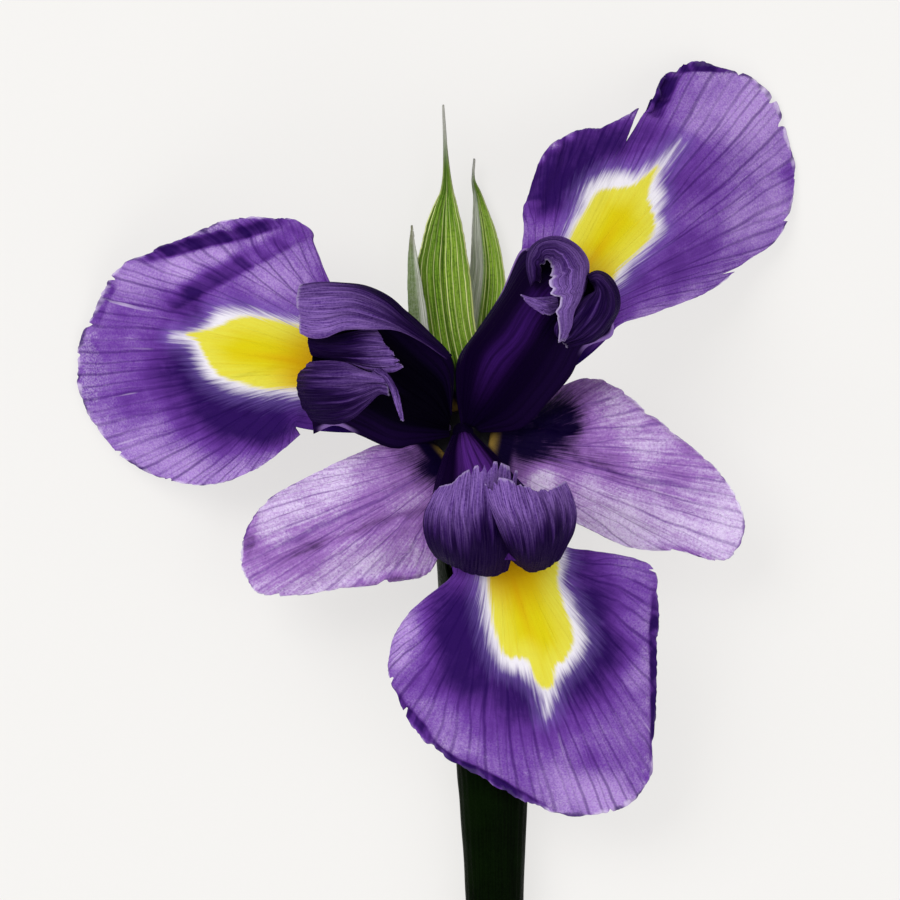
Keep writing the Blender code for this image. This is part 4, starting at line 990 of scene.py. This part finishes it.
# Painted shadow of the flower on the bracts.
LEAF_SHADOW_DARK, LEAF_SHADOW_LIGHT = (0.001, 0.004, 0.0005), (0.006, 0.020, 0.002)
SKIN_GREEN_DARK, SKIN_GREEN_LIGHT = (0.075, 0.130, 0.030), (0.230, 0.310, 0.130)
SKIN_WHITE_DARK, SKIN_WHITE_LIGHT = (0.300, 0.340, 0.230), (0.700, 0.720, 0.640)
SKIN_TIP, SKIN_SPECKLE = (0.20, 0.18, 0.12), (0.62, 0.66, 0.55)
STEM_DARK, STEM_LIGHT = (0.0003, 0.0010, 0.0001), (0.0012, 0.0042, 0.0004)
STEM_PATCH, STEM_SPECKLE = (0.0022, 0.0075, 0.0006), (0.012, 0.026, 0.006)
PITH_GREEN, PITH_PALE, STEM_RIND = (0.26, 0.36, 0.12), (0.50, 0.58, 0.28), (0.10, 0.19, 0.04)
# Dark tone, light tone and flecks of each small part.
TUBE_COLOURS = (0.22, 0.26, 0.04), (0.38, 0.36, 0.09), (0.5, 0.5, 0.2)
FILAMENT_COLOURS = (0.10, 0.05, 0.22), (0.24, 0.16, 0.40), (0.4, 0.32, 0.55)
POLLEN_COLOURS = (0.50, 0.38, 0.12), (0.74, 0.62, 0.30), (0.9, 0.84, 0.6)
PAPER_DARK, PAPER_LIGHT, PAPER_GLOW = (0.192, 0.188, 0.182), (0.198, 0.194, 0.188), (1.0, 0.988, 0.970, 1.0)


def fall_finish(groups):
    """Violet velvet with dark veins, a yellow patch in a white fringe, and a pale frayed margin; the claw is
    painted near-black as shade in the flower's heart.
    """
    material, recipe = new_finish("fall_petal_finish")
    place = recipe.layer("across_along")
    spot = recipe.surface_place()
    across, along = recipe.split(place)[:2]
    veins = recipe.group(groups["veins"], {"Place": place, "Count": 22.0, "Wander": 1.3, "Width": 0.095})
    grain = recipe.group(groups["grain"], {"Place": spot, "Size": 3200.0})
    edge = recipe.group(groups["edge"], {"Place": place, "Width": 0.02, "Raggedness": 0.10})
    streaks = recipe.step(veins["Streaks"], 0.3, 0.7, -1.0, 1.0)
    clouds = recipe.step(recipe.noise(spot, 150.0, 4.0, 0.6), 0.35, 0.68, -1.0, 1.0)
    # The tone holds the petal's own dark and pale zones and the painted shade and light of its pleats and
    # curls.
    tone = recipe.scaled(streaks, -0.11, recipe.tone())
    tone = recipe.scaled(clouds, -0.13, tone)
    base = recipe.mix(recipe.step(tone, 0.10, -0.85), FALL_MID, FALL_LIGHT)
    bare = recipe.times(recipe.step(along, 0.72, 1.0, 0.0, 0.5), recipe.step(clouds, -0.2, 0.8))
    bare = recipe.times(bare, recipe.step(tone, 0.5, 0.0))
    frost = recipe.math("MAXIMUM", recipe.step(tone, 0.5, -0.9, 0.0, 0.42), bare)
    frost = recipe.times(grain["Speckle"], frost)
    base = recipe.mix(frost, base, FALL_EDGE)
    pits = recipe.step(recipe.noise(spot, 2700.0, 2.0, 0.7), 0.56, 0.72, 0.0, 0.3)
    base = recipe.mix(pits, base, FALL_VEIN)
    base = recipe.mix(recipe.times(veins["Veins"], 0.6), base, FALL_VEIN)
    scratches = recipe.step(recipe.streaks(place, 120.0, 2.0, 3.0, 2.0, 0.5), 0.66, 0.72)
    scratched = recipe.step(recipe.noise(spot, 80.0, 2.0), 0.5, 0.6)
    scratched = recipe.times(scratched, recipe.step(along, 0.6, 0.85, 0.0, 0.5))
    base = recipe.mix(recipe.times(scratches, scratched), base, FALL_EDGE)
    base = recipe.mix(recipe.step(tone, -0.1, 1.05, 0.0, 0.91), base, FALL_DARK)
    rim = recipe.step(recipe.streaks(place, 26.0, 0.0, 5.0, 2.0), 0.42, 0.56)
    rim = recipe.mix(rim, FALL_DARK, FALL_EDGE)
    base = recipe.mix(recipe.times(edge["Edge"], recipe.step(tone, 0.5, -0.2, 0.05, 0.7)), base, rim)
    inside = recipe.split(recipe.layer("signal"))
    brush = recipe.streaks(place, 130.0, 4.0, 9.0, 4.0, 0.7)
    brush = recipe.math("SUBTRACT", brush, 0.5)
    halo = recipe.step(recipe.scaled(brush, 6.0, inside[1]), -3.4, 0.6, 0.0, 0.42)
    base = recipe.mix(halo, base, FRINGE_LILAC)
    white = recipe.step(recipe.scaled(brush, 4.0, inside[1]), -1.0, 1.5, 0.0, 0.93)
    base = recipe.mix(white, base, WHITE_PATCH)
    to_yellow = recipe.scaled(brush, 2.0, inside[0])
    deep = recipe.mix(recipe.step(to_yellow, 0.3, 4.5), PALE_YELLOW, YELLOW)
    ribs = recipe.times(recipe.step(brush, -0.12, 0.2), 0.14)
    deep = recipe.mix(ribs, deep, ORANGE)
    aside = recipe.from_middle(across)
    foot = recipe.times(recipe.step(along, 0.26, 0.02), recipe.step(aside, 0.35, 0.05, 0.3, 1.0))
    deep = recipe.mix(foot, deep, ORANGE)
    midline = recipe.times(recipe.step(aside, 0.035, 0.0, 0.0, 0.5), recipe.step(along, 0.45, 0.1))
    deep = recipe.mix(midline, deep, ORANGE)
    base = recipe.mix(recipe.step(to_yellow, -0.45, 0.45), base, deep)
    # Painted shade: the claw deep in the flower's heart is near-black.
    base = recipe.mix(recipe.step(along, -0.14, -0.03), FALL_DARK, base)
    height = recipe.scaled(veins["Veins"], -0.8, grain["Height"])
    height = recipe.scaled(veins["Streaks"], 1.2, height)
    rough = recipe.step(grain["Speckle"], 0.0, 1.0, 0.62, 0.45)
    normal = recipe.bump(height, 0.00007, 0.8)
    finish_material(recipe, base, rough, normal, Specular_IOR_Level=0.02)
    return material


def standard_finish(groups):
    """Pale lilac with a frosty speckle, many thin veins and a darker midrib and foot; the claw is painted
    near-black as shade in the flower's heart, with an olive patch showing.
    """
    material, recipe = new_finish("standard_petal_finish")
    place = recipe.layer("across_along")
    spot = recipe.surface_place()
    across, along = recipe.split(place)[:2]
    veins = recipe.group(groups["veins"], {"Place": place, "Count": 11.0, "Wander": 0.8, "Width": 0.07})
    grain = recipe.group(groups["grain"], {"Place": spot, "Size": 2600.0})
    edge = recipe.group(groups["edge"], {"Place": place, "Width": 0.014, "Raggedness": 0.04})
    streaks = recipe.step(veins["Streaks"], 0.3, 0.7, -1.0, 1.0)
    clouds = recipe.step(recipe.noise(spot, 190.0, 4.0, 0.65), 0.35, 0.68, -1.0, 1.0)
    wander = recipe.math("SUBTRACT", recipe.streaks(place, 1.0, 4.0, 0.0, 2.0), 0.5)
    aside = recipe.math("ABSOLUTE", recipe.scaled(wander, 0.08, recipe.math("SUBTRACT", across, 0.5)))
    band = recipe.times(recipe.step(aside, 0.16, 0.01), recipe.step(along, 1.0, 0.7))
    # The tone holds the petal's own dark and pale zones and the painted shade and light of its pleats and
    # curls.
    tone = recipe.scaled(streaks, -0.17, recipe.tone())
    tone = recipe.scaled(clouds, -0.11, tone)
    tone = recipe.scaled(band, 0.18, tone)
    base = recipe.mix(recipe.step(tone, 0.20, -0.60), STANDARD_MID, STANDARD_LIGHT)
    frost = recipe.times(grain["Speckle"], recipe.step(tone, 0.4, -0.6, 0.04, 0.72))
    base = recipe.mix(frost, base, STANDARD_FROST)
    pits = recipe.step(recipe.noise(spot, 2100.0, 3.0, 0.75), 0.55, 0.70, 0.0, 0.45)
    base = recipe.mix(pits, base, STANDARD_VEIN)
    base = recipe.mix(recipe.times(veins["Veins"], 0.46), base, STANDARD_VEIN)
    rib = recipe.times(recipe.step(aside, 0.02, 0.003), recipe.step(along, 0.95, 0.6, 0.0, 0.55))
    base = recipe.mix(rib, base, STANDARD_VEIN)
    base = recipe.mix(recipe.step(tone, 0.12, 0.95), base, STANDARD_DARK)
    rim = recipe.step(recipe.streaks(place, 11.0, 0.0, 5.0, 2.0), 0.44, 0.56)
    rim = recipe.mix(rim, STANDARD_VEIN, STANDARD_FROST)
    base = recipe.mix(recipe.times(edge["Edge"], 0.7), base, rim)
    # Painted shade: the claw is near-black in the flower's heart, save an olive patch.
    olive = recipe.times(recipe.step(along, -0.60, -0.50), recipe.step(along, -0.26, -0.46, 0.0, 0.8))
    olive = recipe.times(olive, recipe.step(recipe.from_middle(across), 0.42, 0.15))
    claw = recipe.mix(olive, STANDARD_DARK, CLAW_OLIVE)
    base = recipe.mix(recipe.step(along, -0.12, 0.06), claw, base)
    height = recipe.scaled(veins["Veins"], -0.8, grain["Height"])
    height = recipe.scaled(veins["Streaks"], 1.0, height)
    rough = recipe.step(grain["Speckle"], 0.0, 1.0, 0.58, 0.40)
    normal = recipe.bump(height, 0.00008, 0.9)
    finish_material(recipe, base, rough, normal, Specular_IOR_Level=0.03)
    return material


def arm_finish(groups):
    """Near-black violet with a brighter stripe down its middle and grooves beside it. The stripe is painted
    sheen along the keel, the grooves painted shade, and each arm's body and stripe are lit or darkened by its
    painted light.
    """
    material, recipe = new_finish("style_arm_finish")
    place = recipe.layer("across_along")
    spot = recipe.surface_place()
    across, along = recipe.split(place)[:2]
    veins = recipe.group(groups["veins"], {"Place": place, "Count": 13.0, "Wander": 0.8, "Width": 0.25})
    grain = recipe.group(groups["grain"], {"Place": spot, "Size": 2600.0})
    off = recipe.from_middle(across)
    # Painted light: lit arms get the brighter body and stripe, and the arm in shade stays near-black.
    arm_light = recipe.tone()
    reach = recipe.scaled(arm_light, 0.16, 0.14)
    # The stripe along the keel is painted sheen.
    stripe = recipe.step(recipe.math("DIVIDE", off, recipe.math("MAXIMUM", reach, 0.03)), 1.0, 0.1)
    start = recipe.step(recipe.scaled(arm_light, 0.3, along), 0.12, 0.42)
    stripe = recipe.times(recipe.times(stripe, start), recipe.step(arm_light, -0.8, 0.1, 0.05, 1.0))
    # The grooves beside the keel are painted shade.
    groove = recipe.times(recipe.step(off, 0.34, 0.20), recipe.step(off, 0.12, 0.2))
    deep = recipe.mix(recipe.step(arm_light, -0.6, 0.15), ARM_SHADED, ARM_BODY)
    base = recipe.mix(recipe.step(off, 0.2, 0.42), deep, ARM_EDGE)
    rib = recipe.mix(recipe.step(arm_light, 0.3, 0.9), ARM_RIB, ARM_RIB_LIT)
    base = recipe.mix(recipe.times(stripe, recipe.step(veins["Streaks"], 0.3, 0.7, 0.6, 1.0)), base, rib)
    base = recipe.mix(groove, base, deep)
    base = recipe.mix(recipe.times(veins["Veins"], 0.5), base, deep)
    lilac = recipe.times(recipe.step(off, 0.462, 0.485), recipe.step(along, 0.60, 0.72, 0.0, 0.7))
    base = recipe.mix(recipe.times(lilac, recipe.step(along, 0.98, 0.9)), base, CREST_PALE)
    height = recipe.scaled(veins["Veins"], -1.5, grain["Height"])
    rough = recipe.step(grain["Speckle"], 0.0, 1.0, 0.62, 0.45)
    normal = recipe.bump(height, 0.00008, 0.8)
    finish_material(recipe, base, rough, normal, Specular_IOR_Level=0.01)
    return material


def crest_finish(groups):
    """Dark violet with fine pale streaks running to a lighter, frayed edge; the tone paints light and shade
    over each curl.
    """
    material, recipe = new_finish("style_crest_finish")
    place = recipe.layer("across_along")
    spot = recipe.surface_place()
    along = recipe.split(place)[1]
    rim = recipe.split(recipe.layer("signal"))[0]
    veins = recipe.group(groups["veins"], {"Place": place, "Count": 9.0, "Wander": 1.2, "Width": 0.14})
    grain = recipe.group(groups["grain"], {"Place": spot, "Size": 2600.0})
    edge = recipe.group(groups["edge"], {"Place": place, "Width": 0.03, "Raggedness": 0.10})
    streaks = recipe.step(veins["Streaks"], 0.38, 0.64)
    lanes = recipe.step(recipe.streaks(place, 13.0, 1.3, 7.0, 3.0, 0.6), 0.36, 0.64, -0.5, 0.5)
    # The tone is painted light and shade over each crest's curl.
    outer = recipe.scaled(recipe.tone(), -0.50, recipe.step(along, 0.1, 1.0, 0.12, 0.68))
    outer = recipe.scaled(lanes, 0.36, outer)
    base = recipe.mix(outer, CREST_DARK, CREST_MID)
    lit = recipe.times(streaks, recipe.step(outer, 0.05, 1.1, 0.04, 0.80))
    base = recipe.mix(lit, base, CREST_PALE)
    base = recipe.mix(recipe.times(veins["Veins"], 0.32), base, CREST_DARK)
    speckle = recipe.times(grain["Speckle"], recipe.step(outer, 0.1, 1.1, 0.0, 0.40))
    base = recipe.mix(speckle, base, CREST_PALE)
    frayed = recipe.math("MAXIMUM", recipe.times(edge["Edge"], 0.45), rim)
    base = recipe.mix(recipe.times(frayed, 0.85), base, CREST_RIM)
    height = recipe.scaled(veins["Veins"], -1.2, grain["Height"])
    height = recipe.scaled(veins["Streaks"], 2.4, height)
    rough = recipe.step(grain["Speckle"], 0.0, 1.0, 0.58, 0.40)
    normal = recipe.bump(height, 0.0001, 0.9)
    finish_material(recipe, base, rough, normal, Specular_IOR_Level=0.004)
    return material


def bract_finish(groups):
    """Green papery leaf with cream parallel veins, a dark midrib, bleached edges and a dry tip, and a painted
    shadow of the flower over its lower part.
    """
    material, recipe = new_finish("bract_finish")
    place = recipe.layer("across_along")
    spot = recipe.surface_place()
    across, along = recipe.split(place)[:2]
    papery, station = recipe.split(recipe.layer("signal"))[:2]
    grain = recipe.group(groups["grain"], {"Place": spot, "Size": 1900.0})
    drift = recipe.math("SUBTRACT", recipe.streaks(place, 3.0, 6.0, 0.0, 1.0), 0.5)
    line = recipe.scaled(across, 9.0, recipe.times(drift, 0.12))
    pale = recipe.step(recipe.math("PINGPONG", line, 0.5), 0.11, 0.04)
    bright = recipe.step(recipe.streaks(place, 9.0, 9.0, 2.0, 2.0), 0.35, 0.6, 0.45, 1.0)
    fibres = recipe.streaks(place, 70.0, 9.0, 4.0, 3.0, 0.65)
    off = recipe.from_middle(across)
    body = recipe.mix(recipe.step(recipe.tone(), -0.4, 0.4), LEAF_LIGHT, LEAF_MID)
    body = recipe.mix(recipe.step(fibres, 0.56, 0.40, 0.0, 0.75), body, LEAF_FIBRE)
    body = recipe.mix(recipe.step(fibres, 0.52, 0.68, 0.0, 0.8), body, LEAF_BRIGHT)
    specks = recipe.step(recipe.noise(spot, 2100.0, 2.0, 0.7), 0.50, 0.62, 0.0, 0.4)
    body = recipe.mix(specks, body, LEAF_SPECK)
    body = recipe.mix(recipe.step(off, 0.1, 0.4, 0.0, 0.3), body, LEAF_FLANK)
    body = recipe.mix(recipe.times(pale, bright), body, LEAF_VEIN)
    midrib = recipe.step(off, 0.035, 0.005, 0.0, 0.6)
    body = recipe.mix(midrib, body, LEAF_MIDRIB)
    body = recipe.mix(recipe.step(off, 0.44, 0.5, 0.0, 0.5), body, LEAF_EDGE)
    skin = recipe.mix(recipe.step(fibres, 0.35, 0.65), LEAF_SKIN_GREY, LEAF_SKIN_WHITE)
    body = recipe.mix(recipe.times(papery, 0.95), body, skin)
    body = recipe.mix(recipe.step(along, 0.74, 0.86, 0.0, 0.7), body, LEAF_SHOULDER)
    body = recipe.mix(recipe.step(along, 0.86, 0.97, 0.0, 0.9), body, LEAF_TIP)
    # Painted shadow: below about 10 to 12 mm along the stem the bract is near-black, where the flower shades
    # it.
    shaded = recipe.mix(recipe.step(fibres, 0.3, 0.7), LEAF_SHADOW_DARK, LEAF_SHADOW_LIGHT)
    body = recipe.mix(recipe.step(station, 10.0, 12.4), shaded, body)
    height = recipe.scaled(pale, 1.5, grain["Height"])
    height = recipe.scaled(fibres, 1.5, height)
    rough = recipe.step(grain["Speckle"], 0.0, 1.0, 0.55, 0.38)
    normal = recipe.bump(height, 0.0001, 0.8)
    finish_material(recipe, body, rough, normal, Specular_IOR_Level=0.08)
    return material


def membrane_finish(groups):
    """Dry greyish skin, green on one side and nearly white on the other, with streaky veins."""
    material, recipe = new_finish("membrane_finish")
    place = recipe.layer("across_along")
    spot = recipe.surface_place()
    across, along = recipe.split(place)[:2]
    grain = recipe.group(groups["grain"], {"Place": spot, "Size": 2400.0})
    fibres = recipe.streaks(place, 22.0, 5.0, 0.0, 3.0, 0.65)
    green = recipe.mix(recipe.step(fibres, 0.35, 0.65), SKIN_GREEN_DARK, SKIN_GREEN_LIGHT)
    white = recipe.mix(recipe.step(fibres, 0.35, 0.65), SKIN_WHITE_DARK, SKIN_WHITE_LIGHT)
    base = recipe.mix(recipe.step(across, 0.50, 0.22), green, white)
    base = recipe.mix(recipe.step(along, 0.82, 0.95, 0.0, 0.7), base, SKIN_TIP)
    base = recipe.mix(recipe.times(grain["Speckle"], 0.2), base, SKIN_SPECKLE)
    rough = recipe.step(grain["Speckle"], 0.0, 1.0, 0.6, 0.4)
    normal = recipe.bump(grain["Height"], 0.0001, 0.8)
    finish_material(recipe, base, rough, normal, Specular_IOR_Level=0.1)
    return material


def stem_finish(groups):
    """Very dark green with fine lengthwise fibres and a paler, ringed cut end."""
    material, recipe = new_finish("stem_finish")
    place = recipe.layer("across_along")
    spot = recipe.surface_place()
    along = recipe.split(place)[1]
    grain = recipe.group(groups["grain"], {"Place": spot, "Size": 2400.0})
    fibres = recipe.streaks(place, 110.0, 5.0, 0.0, 4.0, 0.65)
    patches = recipe.noise(spot, 90.0, 3.0)
    base = recipe.mix(recipe.step(fibres, 0.3, 0.7), STEM_DARK, STEM_LIGHT)
    base = recipe.mix(recipe.step(patches, 0.5, 0.75, 0.0, 0.5), base, STEM_PATCH)
    base = recipe.mix(recipe.times(grain["Speckle"], 0.06), base, STEM_SPECKLE)
    fresh = recipe.mix(recipe.step(recipe.noise(spot, 1500.0, 2.0), 0.45, 0.6), PITH_GREEN, PITH_PALE)
    fresh = recipe.mix(recipe.step(along, -0.86, -0.97), fresh, STEM_RIND)
    base = recipe.mix(recipe.step(along, -0.001, -0.002), base, fresh)
    height = recipe.scaled(fibres, 2.0, grain["Height"])
    rough = recipe.step(fibres, 0.3, 0.7, 0.34, 0.5)
    normal = recipe.bump(height, 0.00008, 0.7)
    finish_material(recipe, base, rough, normal, Specular_IOR_Level=0.01)
    return material


def small_part_finish(groups, name, colours, size, roughness, shaded_end=False):
    """Tube, filament and pollen: two tones in soft patches with a fine grain. An end can turn dark violet,
    painted shade where the tube enters the throat.
    """
    material, recipe = new_finish(name)
    dark, light, flecks = colours
    spot = recipe.surface_place()
    grain = recipe.group(groups["grain"], {"Place": spot, "Size": size})
    base = recipe.mix(recipe.step(recipe.noise(spot, 260.0, 3.0), 0.35, 0.65), dark, light)
    base = recipe.mix(recipe.times(grain["Speckle"], 0.35), base, flecks)
    if shaded_end:
        along = recipe.split(recipe.layer("across_along"))[1]
        # Painted shade at the throat end.
        base = recipe.mix(recipe.step(along, 0.55, 0.85), base, ARM_SHADED)
    rough = recipe.step(grain["Speckle"], 0.0, 1.0, roughness, roughness - 0.15)
    normal = recipe.bump(grain["Height"], 0.0001, 0.9)
    finish_material(recipe, base, rough, normal, Specular_IOR_Level=0.4)
    return material


def build_finishes():
    groups = {"veins": petal_veins_group(), "grain": tissue_grain_group(), "edge": frayed_edge_group()}
    return {
        "fall": fall_finish(groups),
        "standard": standard_finish(groups),
        "arm": arm_finish(groups),
        "crest": crest_finish(groups),
        "bract": bract_finish(groups),
        "membrane": membrane_finish(groups),
        "stem": stem_finish(groups),
        "tube": small_part_finish(groups, "tube_finish", TUBE_COLOURS, 2200.0, 0.55),
        "throat": small_part_finish(groups, "throat_finish", TUBE_COLOURS, 2200.0, 0.55, shaded_end=True),
        "filament": small_part_finish(groups, "filament_finish", FILAMENT_COLOURS, 2600.0, 0.5),
        "pollen": small_part_finish(groups, "pollen_finish", POLLEN_COLOURS, 3600.0, 0.85),
    }


def dress_small_nodes(materials):
    """Nodes whose own shape is right get their finish."""
    finishes = {"style_column": "arm", "pedicel": "tube"}
    finishes.update({f"filament_{side}": "filament" for side in ("left", "right", "lower")})
    finishes.update({f"anther_{side}": "pollen" for side in ("left", "right", "lower")})
    for node, finish in finishes.items():
        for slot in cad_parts[node].material_slots:
            slot.material = materials[finish]


# ---------------------------------------------------------------------------------------------------------
# Floor, light and camera

FLOOR_SIZE, FLOOR_GLOW, SKY_STRENGTH = 6.0, 0.68, 0.45
# Each lamp: name, place and size in metres, power in watts.
LAMPS = (
    ("key", (-0.7, 0.6, 1.1), 0.9, 14.0),
    ("fill", (0.9, -0.3, 1.0), 1.2, 7.0),
    ("front", (0.0, -1.1, 0.8), 1.0, 5.0),
)
CAMERA_HEIGHT, CAMERA_SIDE, CAMERA_FRONT = 1125.0, -2.08, -3.04
CAMERA_LENS, SENSOR_WIDTH, NEAREST_SEEN = 275.0, 36.0, 0.01


def build_floor():
    mesh = bpy.data.meshes.new("floor")
    half = FLOOR_SIZE / 2
    corners = [(-half, -half, 0.0), (half, -half, 0.0), (half, half, 0.0), (-half, half, 0.0)]
    mesh.from_pydata(corners, [], [(0, 1, 2, 3)])
    floor = bpy.data.objects.new("floor", mesh)
    bpy.context.scene.collection.objects.link(floor)
    material, recipe = new_finish("pale_paper")
    grain = recipe.noise(recipe.surface_place(), 900.0, 3.0)
    colour = recipe.mix(grain, PAPER_DARK, PAPER_LIGHT)
    rough = recipe.step(grain, 0.3, 0.7, 0.92, 0.98)
    inputs = {"Base Color": colour, "Roughness": rough, "Specular IOR Level": 0.0,
              "Emission Color": PAPER_GLOW, "Emission Strength": FLOOR_GLOW}
    shader = recipe.add("ShaderNodeBsdfPrincipled", inputs)
    recipe.add("ShaderNodeOutputMaterial", {0: shader.outputs[0]})
    mesh.materials.append(material)


def build_light():
    world = bpy.data.worlds.new("studio")
    bpy.context.scene.world = world
    world.use_nodes = True
    background = world.node_tree.nodes["Background"]
    background.inputs["Color"].default_value = (1.0, 1.0, 1.0, 1.0)
    background.inputs["Strength"].default_value = SKY_STRENGTH
    for name, place, size, power in LAMPS:
        data = bpy.data.lights.new(name, "AREA")
        data.size = size
        data.energy = power
        lamp = bpy.data.objects.new(name, data)
        bpy.context.scene.collection.objects.link(lamp)
        lamp.location = place
        lamp.rotation_euler = (-Vector(place)).to_track_quat("-Z", "Y").to_euler()


def build_camera():
    data = bpy.data.cameras.new("camera")
    data.sensor_width = SENSOR_WIDTH
    data.lens = CAMERA_LENS
    data.clip_start = NEAREST_SEEN
    camera = bpy.data.objects.new("camera", data)
    bpy.context.scene.collection.objects.link(camera)
    camera.location = (np.array((CAMERA_SIDE, CAMERA_FRONT, CAMERA_HEIGHT)) + DRAWING_TO_FRAME) * MM
    bpy.context.scene.camera = camera
    bpy.context.scene.view_settings.view_transform = "Standard"


def main():
    build_camera()
    materials = build_finishes()
    build_stalks(materials)
    build_bracts(materials)
    build_petals(materials)
    build_style(materials)
    dress_small_nodes(materials)
    build_floor()
    build_light()


main()
